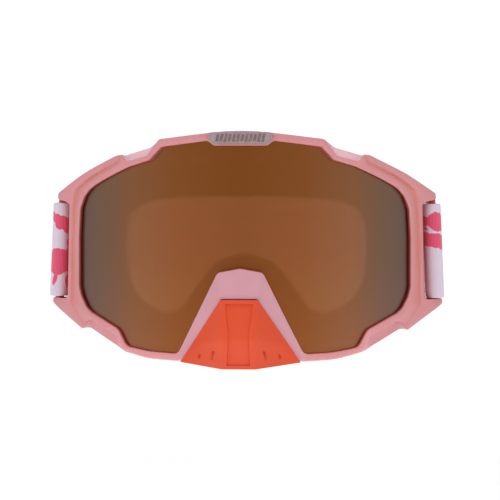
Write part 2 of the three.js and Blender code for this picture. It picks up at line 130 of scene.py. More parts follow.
# The chassis and foam, behind the shell, at the stations of part of the same outline.
LENS_EDGE = [
    (0, 46.8), (11.6, 46.8), (14.2, 48.9), (33.5, 46.6), (39, 40.7), (49.4, 38), (51, 37.3),
    (53, 36.4), (61, 32.7), (68.5, 28.6), (71.7, 24.4), (73.3, 19.2), (74, 7), (74.5, -15.8),
    (73.4, -20.1), (70.9, -24.9), (68.2, -27.2), (66.3, -28), (55.1, -33.6), (50.2, -40.9),
    (40, -42.1), (28.3, -42.4), (26.5, -41.5), (18.4, -25.1), (10.3, -8.6), (9.3, -7.5), (0, -5.8),
]
SHELL_EDGE = [
    (0, 53), (11.6, 52.7), (14.2, 52.3), (35.6, 49.8), (41.2, 43.2), (51.3, 40.7), (53.1, 43.2),
    (55.4, 43), (70.9, 36), (79, 31.1), (86.7, 26.2), (87.2, 22.8), (88.1, 8), (90, -21.5),
    (90.4, -24.7), (81, -30.3), (72.7, -35.1), (69.5, -32), (56.6, -38.6), (53.2, -43.6),
    (41, -45.9), (27, -46.3), (24.6, -45.6), (16.3, -32), (7.9, -18.3), (7, -18.1), (0, -18),
]
CHASSIS_EDGE = [
    (0, 48.2), (11.6, 48.1), (14.4, 48), (34.5, 47.2), (41.5, 46.3), (51.5, 43.4), (54, 42.5),
    (56.5, 41.4), (66, 36.5), (72, 31.5), (76, 26), (77.6, 19), (78, 7), (78, -17),
    (77.3, -22), (75.5, -29), (72.5, -34.5), (69, -37), (57, -43.2), (51, -44.9),
    (41, -46), (29, -46.2), (24.5, -44.5), (17, -28), (9.5, -15.5), (8, -14.8), (0, -14),
]
FOAM_OUTER = [
    (0, 44.5), (11.6, 44.4), (14.4, 44.3), (33, 43.6), (39.5, 42.6), (48.5, 40.5), (51, 39.6),
    (54, 38.3), (62.5, 33.5), (67.5, 29), (70.8, 24), (72.2, 18), (73, 7), (73, -16),
    (72.3, -21), (70.2, -27), (67, -31.8), (63.5, -34.5), (54, -39.5), (48, -41.4),
    (40, -42.8), (31, -43.2), (27, -42), (20, -27.5), (12.5, -14.5), (10.5, -12.6), (0, -9.8),
]
EYE_OPENING = [
    (0, 24.5), (9, 24.5), (12, 24.5), (27, 24.1), (33, 23.7), (39, 23.1), (41, 22.8),
    (43.5, 22.2), (49, 19.9), (51.6, 17), (53.3, 13.3), (54.2, 9.5), (54.6, 2.5), (53.6, -11),
    (52.7, -14.5), (50.4, -18.8), (48, -22), (45.8, -24), (40, -27.5), (36.5, -28.3),
    (32.5, -28), (29, -26.3), (27, -24), (19.5, -12.5), (12, -5), (10, -3.6), (0, -1.5),
]
SOFT_CUTS = [0, 2, 2, 5, 5, 4, 3, 3, 5, 5, 5, 5, 5, 4, 4, 5, 4, 4, 6, 5, 5, 4, 4, 6, 4, 4, 0]


# ---------- geometry helpers ----------
CORNER_STEPS = 5


def sampling(base, cuts, pitch):
    """A matrix that turns any numbers given at the stations into numbers along the rounded outline."""
    base = np.array(base, float)
    count = len(base)
    lengths = np.hypot(*(base[1:] - base[:-1]).T)
    rows = []

    def row(pairs):
        weights = np.zeros(count)
        for station, weight in pairs:
            weights[station] += weight
        rows.append(weights)

    share_out = [min(cuts[i] / lengths[i], 0.45) if i < count - 1 else 0 for i in range(count)]
    share_in = [min(cuts[i] / lengths[i - 1], 0.45) if i else 0 for i in range(count)]
    for i in range(count - 1):
        first, last = share_out[i], 1 - share_in[i + 1]
        steps = max(1, math.ceil((last - first) * lengths[i] / pitch))
        for s in range(steps):
            t = first + (last - first) * s / steps
            row([(i, 1 - t), (i + 1, t)])
        if i + 2 < count and cuts[i + 1]:
            for s in range(CORNER_STEPS):
                t = s / CORNER_STEPS
                a = (1 - t) ** 2 * share_in[i + 1]
                b = t ** 2 * share_out[i + 1]
                row([(i, a), (i + 1, 1 - a - b), (i + 2, b)])
        elif i + 2 == count:
            row([(i + 1, 1)])
    return np.array(rows)


def whole(half):
    """Half a loop, from the top centre to the bottom centre, and its mirror image back up."""
    left = half[1:-1][::-1] * [-1, 1, 1]
    return np.concatenate([half, left])


def towards(start, end, distance):
    start, end = np.array(start, float), np.array(end, float)
    length = np.hypot(*(end - start).T)[:, None]
    return start + (end - start) * np.minimum(1, np.asarray(distance, float).reshape(-1, 1) / length)


def mix(a, b, t):
    return np.array(a, float) * (1 - t) + np.array(b, float) * t


def ring(loops):
    """Vertices and faces of a closed ring whose section joins the same point of every loop."""
    around, across = len(loops[0]), len(loops)
    faces = []
    for j in range(across):
        for i in range(around):
            i2, j2 = (i + 1) % around, (j + 1) % across
            faces.append((j * around + i, j * around + i2, j2 * around + i2, j2 * around + i))
    return np.concatenate(loops), faces


def grid(width, count, closed_rows=True, first=0):
    """Faces between the rows of a grid: count rows of width points each."""
    faces = []
    for r in range(count - 1):
        for c in range(width if closed_rows else width - 1):
            c2 = (c + 1) % width
            a, b = first + r * width, first + (r + 1) * width
            faces.append((a + c, a + c2, b + c2, b + c))
    return faces


def tube_faces(width, count, first=0):
    """Faces of a tube of count rings of width points each, closed at both ends."""
    end = first + width * (count - 1)
    caps = [tuple(range(first, first + width))[::-1], tuple(range(end, end + width))]
    return grid(width, count, first=first) + caps


def tube(rows):
    """Points and faces of a tube through rows of points."""
    return [p for row in rows for p in row], tube_faces(len(rows[0]), len(rows))


def mirrored(row):
    """The same points on the other side of the middle plane, in reverse order."""
    return [(-x, *rest) for x, *rest in row][::-1]


def new_object(name, points, faces):
    """A mesh object in the scene, from points in millimetres."""
    mesh = bpy.data.meshes.new(name)
    mesh.from_pydata([tuple(float(value) * MM for value in p) for p in points], [], faces)
    made = bpy.data.objects.new(name, mesh)
    bpy.context.scene.collection.objects.link(made)
    return made


def build(name, shape, body, material, stands_for=(), sharp=38, painted_light_tints=None):
    """A finished piece from points and faces, which rides on a body and takes a material."""
    piece = new_object(name, *shape)
    # Painted light and shade, when given, goes on the points as a colour attribute.
    if painted_light_tints is not None:
        layer = piece.data.color_attributes.new("painted_light", "FLOAT_COLOR", "POINT")
        layer.data.foreach_set("color", np.column_stack([painted_light_tints, np.ones(len(painted_light_tints))]).ravel())
    tidy(piece, sharp)
    dress(piece, body, material, stands_for)
    return piece


def tidy(piece, sharp=38):
    """Merges doubled points and turns every face outwards."""
    shape = bmesh.new()
    shape.from_mesh(piece.data)
    bmesh.ops.remove_doubles(shape, verts=shape.verts, dist=1e-6)
    bmesh.ops.dissolve_degenerate(shape, edges=shape.edges, dist=1e-6)
    bmesh.ops.recalc_face_normals(shape, faces=shape.faces)
    shape.to_mesh(piece.data)
    shape.free()
    shade(piece, sharp)


def shade(piece, sharp):
    """Smooth shading, with edges sharper than an angle in degrees left crisp."""
    piece.data.shade_smooth()
    piece.data.set_sharp_from_angle(angle=math.radians(sharp))


def dress(piece, body, material, stands_for=()):
    if body:
        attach(piece, body)
    if stands_for:
        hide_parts(*stands_for)
    piece.data.materials.clear()
    piece.data.materials.append(material)


def add_bevel(piece, width, segments):
    modifier = piece.modifiers.new("Bevel", "BEVEL")
    modifier.width = width * MM
    modifier.segments = segments
    modifier.limit_method = "ANGLE"
    modifier.angle_limit = math.radians(40)
    modifier.harden_normals = True
    apply_modifiers(piece)


def apply_modifiers(piece):
    graph = bpy.context.evaluated_depsgraph_get()
    graph.update()
    made = bpy.data.meshes.new_from_object(piece.evaluated_get(graph))
    piece.modifiers.clear()
    piece.data = made


def cut(piece, cutters, operation="DIFFERENCE"):
    """Cuts scratch objects out of a piece, or joins them to it, and deletes them."""
    for cutter in cutters:
        modifier = piece.modifiers.new("Cut", "BOOLEAN")
        modifier.object = cutter
        modifier.operation = operation
        modifier.solver = "EXACT"
    apply_modifiers(piece)
    for cutter in cutters:
        bpy.data.objects.remove(cutter)


def scratch(name, points, faces):
    """An object that still has to be cut, or that cuts another."""
    made = new_object(name, points, faces)
    tidy(made)
    return made


def rounded_slot(length, width, steps=6):
    """A stadium outline, long along the first direction."""
    points = []
    for end in (1, -1):
        for k in range(steps + 1):
            angle = math.pi * k / steps - math.pi / 2 + (0 if end > 0 else math.pi)
            points.append((end * (length - width) / 2 + math.cos(angle) * width / 2,
                           math.sin(angle) * width / 2))
    return points


def prism(outline, low, high, place):
    """A scratch solid from a flat outline pushed from low to high; place puts (a, b, height) in space."""
    count = len(outline)
    points = [place(a, b, low) for a, b in outline] + [place(a, b, high) for a, b in outline]
    faces = [tuple(range(count))[::-1], tuple(range(count, 2 * count))]
    faces += [(i, (i + 1) % count, count + (i + 1) % count, count + i) for i in range(count)]
    return scratch("cutter", points, faces)


# ---------- materials ----------
class Look:
    """A material's nodes, built one at a time."""

    def __init__(self, name, **values):
        self.material = bpy.data.materials.new(name)
        self.material.use_nodes = True
        self.tree = self.material.node_tree
        self.shader = self.tree.nodes["Principled BSDF"]
        self.output = self.tree.nodes["Material Output"]
        for socket, value in values.items():
            self.shader.inputs[socket.replace("_", " ")].default_value = value
        self.bump = None

    def add(self, kind, inputs=None, **settings):
        node = self.tree.nodes.new("ShaderNode" + kind)
        for key, value in settings.items():
            setattr(node, key, value)
        for key, value in (inputs or {}).items():
            self.feed(node.inputs[key], value)
        return node

    def feed(self, socket, value):
        if isinstance(value, bpy.types.NodeSocket):
            self.tree.links.new(value, socket)
        else:
            socket.default_value = value

    def math(self, operation, a, b=0.0, c=0.0, clamp=False):
        node = self.add("Math", {0: a, 1: b, 2: c}, operation=operation, use_clamp=clamp)
        return node.outputs[0]

    def ramp(self, factor, stops, interpolation="LINEAR"):
        node = self.add("ValToRGB", {0: factor})
        node.color_ramp.interpolation = interpolation
        elements = node.color_ramp.elements
        while len(elements) < len(stops):
            elements.new(0.5)
        for element, (position, colour) in zip(elements, stops):
            element.position = position
            element.color = (*colour, 1)
        return node.outputs[0]

    def blend(self, factor, a, b, kind="MIX"):
        node = self.add("Mix", data_type="RGBA", blend_type=kind)
        self.feed(node.inputs[0], factor)
        self.feed(node.inputs[6], a)
        self.feed(node.inputs[7], b)
        return node.outputs[2]

    def place(self):
        return self.add("TexCoord").outputs["Object"]

    def noise(self, scale, detail=3.0, vector=None, roughness=0.5):
        inputs = {"Vector": vector or self.place(), "Scale": scale, "Detail": detail,
                  "Roughness": roughness}
        return self.add("TexNoise", inputs).outputs[0]

    def cells(self, scale):
        """Distance to the nearest of many scattered points."""
        return self.add("TexVoronoi", {"Vector": self.place(), "Scale": scale}).outputs["Distance"]

    def add_bump(self, height, distance, strength):
        inputs = {"Height": height, "Distance": distance, "Strength": strength}
        if self.bump:
            inputs["Normal"] = self.bump
        self.bump = self.add("Bump", inputs).outputs[0]
        self.feed(self.shader.inputs["Normal"], self.bump)

    def colour(self, value):
        self.feed(self.shader.inputs["Base Color"], value)

    def mottled(self, factor, dark, light):
        """Base colour between two shades, as the factor goes from 0.3 to 0.7."""
        self.colour(self.ramp(factor, [(0.3, dark), (0.7, light)]))

    def grainy(self, scale, detail, spread, least):
        """Roughness that varies with a fine noise."""
        grain = self.math("MULTIPLY_ADD", self.noise(scale, detail), spread, least)
        self.feed(self.shader.inputs["Roughness"], grain)

    def stack(self, factor, first, second):
        """The surface is one shader, or another where the factor is 1."""
        node = self.add("MixShader", {0: factor})
        self.feed(node.inputs[1], first.outputs[0])
        self.feed(node.inputs[2], second.outputs[0])
        return node


def rgb(*colour):
    return (*colour, 1)


PINK = ((0.59, 0.242, 0.256), (0.575, 0.23, 0.243), (0.605, 0.256, 0.27))
CORAL = ((0.68, 0.072, 0.021), (0.66, 0.065, 0.018), (0.70, 0.080, 0.025))


def moulded(name, shades, with_painted_light=False):
    """Satin moulded TPU with faint mottling and a fine sanded grain, times the painted light and shade
    stored on the mesh if asked.
    """
    base, deep, light = shades
    look = Look(name, Subsurface_Weight=0.12, Subsurface_Scale=0.002, Subsurface_Radius=(1.0, 0.45, 0.4),
                Specular_IOR_Level=0.42)
    mottle = look.ramp(look.noise(60, 4), [(0.3, deep), (0.52, base), (0.75, light)])
    if with_painted_light:
        # Painted light and shade from the mesh's points, multiplied into the colour.
        painted_light = look.add("Attribute", attribute_name="painted_light").outputs[0]
        mottle = look.blend(1.0, mottle, painted_light, "MULTIPLY")
    look.colour(mottle)
    look.grainy(900, 2, 0.14, 0.4)
    look.add_bump(look.noise(4200, 2), 0.00003, 0.5)
    look.add_bump(look.noise(140, 2), 0.00012, 0.35)
    return look.material


def make_materials():
    badge = ((0.40, 0.28, 0.30), (0.47, 0.345, 0.365), (0.62, 0.48, 0.50))
    relief = ((0.10, 0.062, 0.066), (0.34, 0.24, 0.25), (1, 0.95, 0.97))
    return {
        "pink": moulded("frame_pink", PINK),
        "shell": moulded("frame_pink_shell", PINK, with_painted_light=True),
        "coral": moulded("guard_coral", CORAL),
        "lens": tinted_lens(),
        "clear": clear_lens(),
        "badge": badge_metal("badge_metal", *badge, 0.15),
        "relief": badge_metal("badge_relief", *relief, 0.8),
        "ventfoam": foam("vent_foam", (0.016, 0.016, 0.019), 1500, 0.0005),
        "gasket": foam("lens_gasket", (0.02, 0.018, 0.018), 2600, 0.0002),
        "firm": foam("face_foam_firm", (0.05, 0.05, 0.055), 1500, 0.0004),
        "soft": foam("face_foam_soft", (0.075, 0.072, 0.078), 1900, 0.0004),
        "fleece": fleece(),
        "silicone": silicone(),
        "slider": slider_plastic(),
        "thread": thread(),
    }


LENS_HALF_WIDTH, LENS_HEIGHT = 0.078, 0.095  # metres, over which the lens's colour is graded
SEEN_THROUGH = 0.2  # share of the lens's colour that comes from behind it


def tinted_lens():
    """Brown mirror graded across and up, mixed with a hazy view through it from the front."""
    look = Look("lens_brown", Metallic=1.0, Roughness=0.3)
    axes = look.add("SeparateXYZ", {0: look.place()})
    across = look.math("MULTIPLY", look.math("ABSOLUTE", axes.outputs[0]), 1 / LENS_HALF_WIDTH)
    sides = look.ramp(across, [
        (0.0, (0.40, 0.124, 0.028)), (0.35, (0.445, 0.145, 0.040)), (0.62, (0.46, 0.19, 0.085)),
        (0.8, (0.36, 0.205, 0.135)), (0.93, (0.30, 0.20, 0.165)), (1.0, (0.28, 0.19, 0.165)),
    ])
    height = look.math("MULTIPLY_ADD", axes.outputs[2], 1 / LENS_HEIGHT, 0.5)
    stops = [(0.0, (1.2, 1.17, 1.33)), (0.45, (1.04, 1.05, 1.07)), (1.0, (1.03, 1.06, 1.06))]
    look.colour(look.blend(1.0, sides, look.ramp(height, stops), "MULTIPLY"))
    behind = look.add("NewGeometry").outputs["Backfacing"]
    through = rgb(0.74, 0.52, 0.38)
    straight = look.add("BsdfTransparent", {"Color": through})
    hazy = look.add("BsdfRefraction", {"Color": through, "Roughness": 0.7, "IOR": 1.05})
    clear = look.stack(behind, hazy, straight)
    layers = look.stack(look.math("MAXIMUM", behind, SEEN_THROUGH), look.shader, clear)
    look.feed(look.output.inputs["Surface"], layers.outputs[0])
    look.add_bump(look.noise(18, 1), 0.0002, 0.05)
    return look.material


def clear_lens():
    look = Look("lens_clear", Roughness=0.06, Specular_IOR_Level=0.5)
    look.mottled(look.noise(40), (0.75, 0.76, 0.75), (0.8, 0.8, 0.79))
    clear = look.add("BsdfTransparent", {"Color": rgb(0.96, 0.96, 0.95)})
    edge = look.add("Fresnel", {"IOR": 1.3}).outputs[0]
    behind = look.add("NewGeometry").outputs["Backfacing"]
    share = look.math("MAXIMUM", behind, look.math("MULTIPLY_ADD", edge, -0.8, 0.98))
    layers = look.stack(share, look.shader, clear)
    look.feed(look.output.inputs["Surface"], layers.outputs[0])
    return look.material


def badge_metal(name, deep, base, bright, grain):
    """Painted metal whose flakes glint here and there; grain is how rough its face is."""
    look = Look(name, Metallic=0.5, Specular_IOR_Level=0.6)
    cells = look.cells(2600.0)
    flakes = look.ramp(cells, [(0.0, bright), (0.16, base), (1.0, deep)])
    patches = look.ramp(look.noise(900, 2), [(0.35, deep), (0.65, base)])
    look.colour(look.blend(0.5, flakes, patches))
    look.grainy(2400, 1, 0.3, 0.25)
    look.add_bump(cells, 0.00012, grain)
    return look.material


def foam(name, base, scale, depth):
    look = Look(name, Roughness=0.95, Specular_IOR_Level=0.2, Sheen_Weight=0.25, Sheen_Roughness=0.6)
    cells = look.cells(float(scale))
    # Painted shade darkens the pores and painted light brightens the crowns between them, on the same
    # cells as the bump.
    pit_shade, crown = tuple(c * 0.35 for c in base), tuple(c * 1.5 for c in base)
    look.colour(look.ramp(cells, [(0.1, pit_shade), (0.55, base), (1.0, crown)]))
    look.add_bump(cells, depth, 0.8)
    look.add_bump(look.noise(420, 3), 0.0003, 0.4)
    return look.material


def fleece():
    look = Look("fleece", Roughness=1.0, Specular_IOR_Level=0.1, Sheen_Weight=0.7, Sheen_Roughness=0.45,
                Sheen_Tint=rgb(0.55, 0.52, 0.56))
    nap = look.noise(1500, 5, roughness=0.7)
    look.mottled(nap, (0.010, 0.010, 0.012), (0.034, 0.033, 0.037))
    look.add_bump(nap, 0.0006, 0.9)
    look.add_bump(look.noise(260, 3), 0.0005, 0.5)
    return look.material


def silicone():
    look = Look("silicone", Roughness=0.38, Subsurface_Weight=0.3, Subsurface_Scale=0.001,
                Subsurface_Radius=(1.0, 0.5, 0.5))
    look.mottled(look.noise(220), (0.70, 0.33, 0.40), (0.78, 0.42, 0.48))
    look.add_bump(look.noise(600, 2), 0.00008, 0.5)
    return look.material


def slider_plastic():
    look = Look("slider_plastic", Specular_IOR_Level=0.5)
    look.mottled(look.noise(90), (0.56, 0.51, 0.58), (0.62, 0.57, 0.64))
    look.grainy(800, 2, 0.15, 0.3)
    look.add_bump(look.noise(3600, 2), 0.00003, 0.5)
    return look.material


def thread():
    look = Look("stitch_thread", Roughness=0.7, Sheen_Weight=0.4)
    look.mottled(look.noise(2500), (0.60, 0.53, 0.62), (0.74, 0.68, 0.76))
    twist = look.add("TexWave", {"Vector": look.place(), "Scale": 900.0, "Distortion": 1.0})
    look.add_bump(twist.outputs[1], 0.0001, 0.6)
    return look.material


# Brush strokes printed on the webbing: distance along it from the front of the bar, height,
# half lengths along and up, and turn in degrees. Along is positive outside the bar.
FRONT_PRINT = {
    "right": [(-4, 11.2, 4.0, 3.8, 0), (-0.5, 12.6, 2.7, 3.4, 0), (1.9, 14.8, 2.2, 1.9, 20),
              (3.4, 16.6, 1.8, 0.8, 30), (-5.0, 3.0, 2.6, 2.3, 0), (0.6, -5.4, 5.2, 6.2, 0),
              (-4, -4.5, 2.8, 5.6, 0), (1.4, -13, 0.9, 3.6, 14), (-4.0, -14.2, 1.2, 3.4, 0)],
    "left": [(1.5, 13.2, 3.9, 4.3, 0), (-3.6, 13.4, 3.0, 2.4, -15), (2.6, 10.8, 3.0, 1.6, -18),
             (-3, 10.0, 2.6, 0.35, -12), (0, 4.6, 9.0, 3.3, -8), (5.5, 2.4, 4.0, 2.6, -12)],
}


BOUNCE_LIGHT_AT, BOUNCE_LIGHT_REACH = 5.0, 3.8  # painted coral bounce light from the ear on the webbing: how far behind the bar, how wide


def printed_webbing(side):
    """Ribbed elastic with a brush-stroke print in hot pink on pale lilac, and the ear's coral bounce light
    painted on near the bar.
    """
    look = Look("webbing_" + side, Roughness=0.85, Specular_IOR_Level=0.2, Sheen_Weight=0.35,
                Sheen_Roughness=0.5)
    flat = look.add("UVMap", uv_map="flat").outputs[0]
    ragged = look.add("TexNoise", {"Vector": flat, "Scale": 260.0, "Detail": 4.0}, noise_dimensions="2D")
    streaks = look.add("Mapping", {"Vector": flat, "Scale": (900.0, 90.0, 1.0)})
    dry = look.add("TexNoise", {"Vector": streaks.outputs[0], "Scale": 1.0, "Detail": 2.0})
    edge = look.math("MULTIPLY_ADD", ragged.outputs[0], 1.4, -0.7)
    edge = look.math("ADD", edge, look.math("MULTIPLY_ADD", dry.outputs[0], 1.2, -0.6))
    nearest = None
    for along, up, half_along, half_up, turn in print_strokes(side):
        spot = look.add("Mapping", {
            "Vector": flat, "Location": (along * MM, up * MM, 0),
            "Rotation": (0, 0, math.radians(turn)), "Scale": (half_along * MM, half_up * MM, 1),
        }, vector_type="TEXTURE")
        reach = look.add("VectorMath", {0: spot.outputs[0]}, operation="LENGTH").outputs["Value"]
        size = min(half_along, half_up)
        away = look.math("MULTIPLY_ADD", reach, size, -size)
        nearest = away if nearest is None else look.math("MINIMUM", nearest, away)
    mask = look.math("ADD", nearest, edge)
    mask = look.math("MULTIPLY_ADD", mask, -4.0, 0.5, clamp=True)
    sides = look.add("UVMap", uv_map="face").outputs[0]
    mask = look.math("MULTIPLY", mask, look.add("SeparateXYZ", {0: sides}).outputs[0])
    waves = {"Vector": flat, "Detail": 1.0}
    ribs = look.add("TexWave", {**waves, "Scale": 560.0, "Distortion": 0.5}, bands_direction="X")
    yarn = look.add("TexWave", {**waves, "Scale": 420.0, "Distortion": 1.5}, bands_direction="Y")
    paper = look.ramp(ribs.outputs[1], [(0.0, (0.60, 0.50, 0.60)), (1.0, (0.65, 0.555, 0.65))])
    ink = look.ramp(ribs.outputs[1], [(0.0, (0.56, 0.04, 0.10)), (1.0, (0.72, 0.12, 0.21))])
    colour = look.blend(mask, paper, ink)
    # Painted coral bounce light from the ear, strongest a little behind the front of the bar.
    along = look.add("SeparateXYZ", {0: flat}).outputs[0]
    beside = look.math("ABSOLUTE", look.math("ADD", along, BOUNCE_LIGHT_AT * MM))
    beside = look.math("MULTIPLY_ADD", beside, -1 / (BOUNCE_LIGHT_REACH * MM), 1.0, clamp=True)
    painted_bounce = look.blend(beside, rgb(1, 1, 1), rgb(1.0, 0.3, 0.22))
    look.colour(look.blend(1.0, colour, painted_bounce, "MULTIPLY"))
    look.add_bump(ribs.outputs[1], 0.00008, 0.5)
    look.add_bump(yarn.outputs[1], 0.00005, 0.4)
    return look.material


def print_strokes(side):
    """The strokes at the front, and more along the rest of the strap in the same style."""
    strokes = list(FRONT_PRINT[side])
    spread = random.Random(7 if side == "left" else 11)
    for start in range(26, 235, 17):
        for _ in range(2):
            strokes.append((start + spread.uniform(-5, 5), spread.uniform(-19, 19),
                            spread.uniform(6, 13), spread.uniform(3.2, 7), spread.uniform(-40, 40)))
    for start in range(-88, -16, 18):
        strokes.append((start + spread.uniform(-4, 4), spread.uniform(-17, 17),
                        spread.uniform(6, 11), spread.uniform(3.2, 6.5), spread.uniform(-40, 40)))
    return strokes


# ---------- front shell ----------
# Tints multiplied into the shell's colour. All but the first are painted light and shade: dark red shade
# on the wall round the lens, less deep at the bottom; orange shade in the groove; the nose cover lighter
# and bluer; upper facets lighter; lower facets darker; shade on the walls by the strap slots; the lower
# rims lighter.
PLAIN, LIP_SHADE, LOW_LIP_SHADE, VALLEY_SHADE = (1, 1, 1), (0.42, 0.13, 0.06), (0.8, 0.36, 0.2), (1.0, 0.80, 0.64)
NOSE_LIGHT, FACET_HIGHLIGHT, LOW_FACET_SHADE = (1.04, 1.27, 1.41), (1.32, 1.95, 2.02), (0.9, 0.77, 0.79)
SLOT_SHADE, LOW_RIM_LIGHT = (0.95, 0.42, 0.26), (1.12, 1.12, 1.12)
FRONT_FACE = -0.5  # depth of the rim's front face, which stands a little in front of the lens
# From the front face's crest down into the groove: share of the way, depth of a plain rim and of
# the groove, and how much of the groove's painted shade.
INTO_GROOVE = [(0.2, -0.42, -0.38, 0.1), (0.45, -0.1, 0.0, 0.45), (0.68, 0.4, 0.55, 0.85),
               (0.88, 0.55, 1.0, 1.0)]
# From the groove up its outer bank: share of the way, depth and how much of the groove's painted shade.
UP_THE_BANK = [(0.0, 1.2, 1.0), (0.2, 1.27, 1.0), (0.42, 1.15, 0.9), (0.7, 0.9, 0.5), (1.0, 0.72, 0.0)]
# Down the rim's side: share of the flare and of the depth, for the rim and for the nose cover.
DOWN_THE_SIDE = [(0.0, 0.05, 0, 0.05), (0.25, 0.28, 0, 0.5), (0.7, 0.7, 0, 0.93), (0.97, 0.94, 1, 0.96)]


def make_shell(material):
    lens_edge, outer, flare = (np.array([s[column] for s in SHELL], float) for column in (0, 1, 3))
    grooved = np.array([s[2] is not None for s in SHELL])
    groove = np.array([s[2] if s[2] else mix(s[0], s[1], 0.9) for s in SHELL], float)
    count = len(SHELL)
    plan = sampling(lens_edge, [s[4] for s in SHELL], 1.6)
    reach = np.hypot(*(outer - lens_edge).T)
    sink = np.array([0.5, 0.5, 0.45, 0.1] + [0] * (count - 4))
    nose = np.arange(count) >= NOSE_AT
    lift_in, lift_out = np.array([NOSE_LIFT.get(i, (0, 0)) for i in range(count)], float).T
    # Painted light by station: the lower rims painted lighter, and the nose cover painted lighter and
    # bluer.
    station_painted_light = np.tile(np.array(PLAIN, float), (count, 1))
    station_painted_light[22:26] = LOW_RIM_LIGHT
    station_painted_light[nose] = NOSE_LIGHT
    loops, painted_light_tints = [], []

    def add_loop(xz, depth, dy=0.0, painted_light=PLAIN):
        """A loop through station points, at a depth square to the lens and a shift along Y."""
        # Painted light and shade for the loop's points; where none is given, the station's painted light.
        shades = np.broadcast_to(np.array(painted_light, float), (count, 3))
        shades = np.where(np.all(shades == 1, axis=1)[:, None], station_painted_light, shades)
        placed = [np.broadcast_to(value, count) for value in (depth, dy)]
        table = plan @ np.column_stack([xz, *placed, shades])
        x, z, depths, shifts = table[:, :4].T
        loops.append(whole(np.column_stack([x, front_y(x, depths) + shifts, z])))
        painted_light_tints.append(np.abs(whole(table[:, 4:])))

    def front(xz, depth, softness=0.0, painted_light=PLAIN):
        """A loop on the front: the rim's own depth, or the nose cover's slope."""
        along = np.hypot(*(xz - lens_edge).T) / reach
        lift = lift_in + (lift_out - lift_in) * along - softness
        add_loop(xz, np.where(nose, 0, depth + sink), np.where(nose, -lift, 0), painted_light)

    # Painted orange shade in the groove, as much of it as the groove is there.
    def shaded(amount):
        return 1 + (np.array(VALLEY_SHADE) - 1) * (amount * strength)[:, None]

    strength = np.array([GROOVE_SHARE.get(i, float(grooved[i])) for i in range(count)])
    groove_reach = np.hypot(*(groove - lens_edge).T)
    rounding = np.array([0.3 if i in FACETS else 0.7 for i in range(count)])
    crest = np.where(grooved, 1.15, reach - rounding)
    crest[7:11] = (2.2, 2.2, 2.1, 1.5)
    crest[18:20] = (2.2, 2.6)
    valley = np.where(grooved, groove_reach, reach)
    aim = np.where(grooved[:, None], groove, outer)
    lip_foot = lens_edge * [1 - 1.2 / LENS_RADIUS, 1]
    lip_foot[3:5] -= (0.9, 0.5)
    # Painted dark red shade on the wall round the lens, less deep along the bottom.
    lip = np.tile(np.array(LIP_SHADE), (count, 1))
    lip[20:] = LOW_LIP_SHADE

    add_loop(lip_foot, 1.15, painted_light=lip)
    front(mix(lens_edge, lip_foot, 0.3), 0.35, 0.5, lip)
    for distance, depth, softness in [(0.04, 0.05, 0.12), (0.22, -0.35, 0), (0.5, FRONT_FACE, 0),
                                      (crest, FRONT_FACE, 0)]:
        front(towards(lens_edge, aim, np.broadcast_to(distance, count)), depth, softness)
    for share, rim_depth, sunk, amount in INTO_GROOVE:
        above = rim_depth if share < 0.6 else 0.25
        depth = np.where(grooved, above + (sunk - above) * strength, rim_depth)
        front(towards(lens_edge, aim, crest + (valley - crest) * share), depth, painted_light=shaded(amount))
    plate = np.full(count, 0.75)
    plate[20] = 1.0
    bank = np.minimum(1, 1.6 / np.maximum(reach - groove_reach, 0.1))
    for share, sunk, amount in UP_THE_BANK:
        depth = np.where(grooved, plate + (sunk - 0.75) * strength, 0.68 + 0.1 * share)
        front(mix(groove, outer, (share * bank)[:, None]), depth, painted_light=shaded(amount))
    front(mix(groove, outer, 0.93), np.where(grooved, plate - 0.03, 0.8))
    front(mix(groove, outer, 0.985), np.where(grooved, plate + 0.1, 0.85))

    ear = np.isin(np.arange(count), EARS)
    thick = np.where(nose, 3.0, np.where(ear, 6.0, SHELL_DEPTH - 1))
    base_depth = np.where(nose, 0, 1.0)
    base_shift = np.where(nose, -lift_out, 0)
    # Painted light and shade down the side: upper facets painted lighter as if catching the top light, the
    # walls by the strap slots painted in shade, lower facets painted darker.
    side_painted_light = np.ones((count, 3))
    side_painted_light[4:6] = FACET_HIGHLIGHT
    side_painted_light[12:17] = SLOT_SHADE
    side_painted_light[21:23] = LOW_FACET_SHADE
    for share, drop, nose_share, nose_drop in DOWN_THE_SIDE:
        spread = np.where(nose, nose_share, share)[:, None]
        shift = base_shift + thick * np.where(nose, nose_drop, drop)
        add_loop(outer + flare * spread, base_depth, shift, side_painted_light)
    pocket = towards(lens_edge, outer, 2.7)
    add_loop(mix(outer + flare, pocket, 0.06), base_depth, base_shift + thick)
    add_loop(mix(outer + flare, pocket, 0.7), np.where(nose, 0, np.where(ear, 2.0, 7.2)),
             np.where(nose, -lift_out * 0.35 + 4.0, np.where(ear, 5.6, 0.4)))
    add_loop(pocket, SHELL_DEPTH)
    add_loop(pocket, 1.3)
    build("front_shell_skin", ring(loops), "frame", material, ["front_shell"], 42,
          painted_light_tints=np.concatenate(painted_light_tints))


# Painted shade: the strap bar darkened towards orange as if in the ear's shadow.
BAR_SHADE = (0.95, 0.5, 0.4)


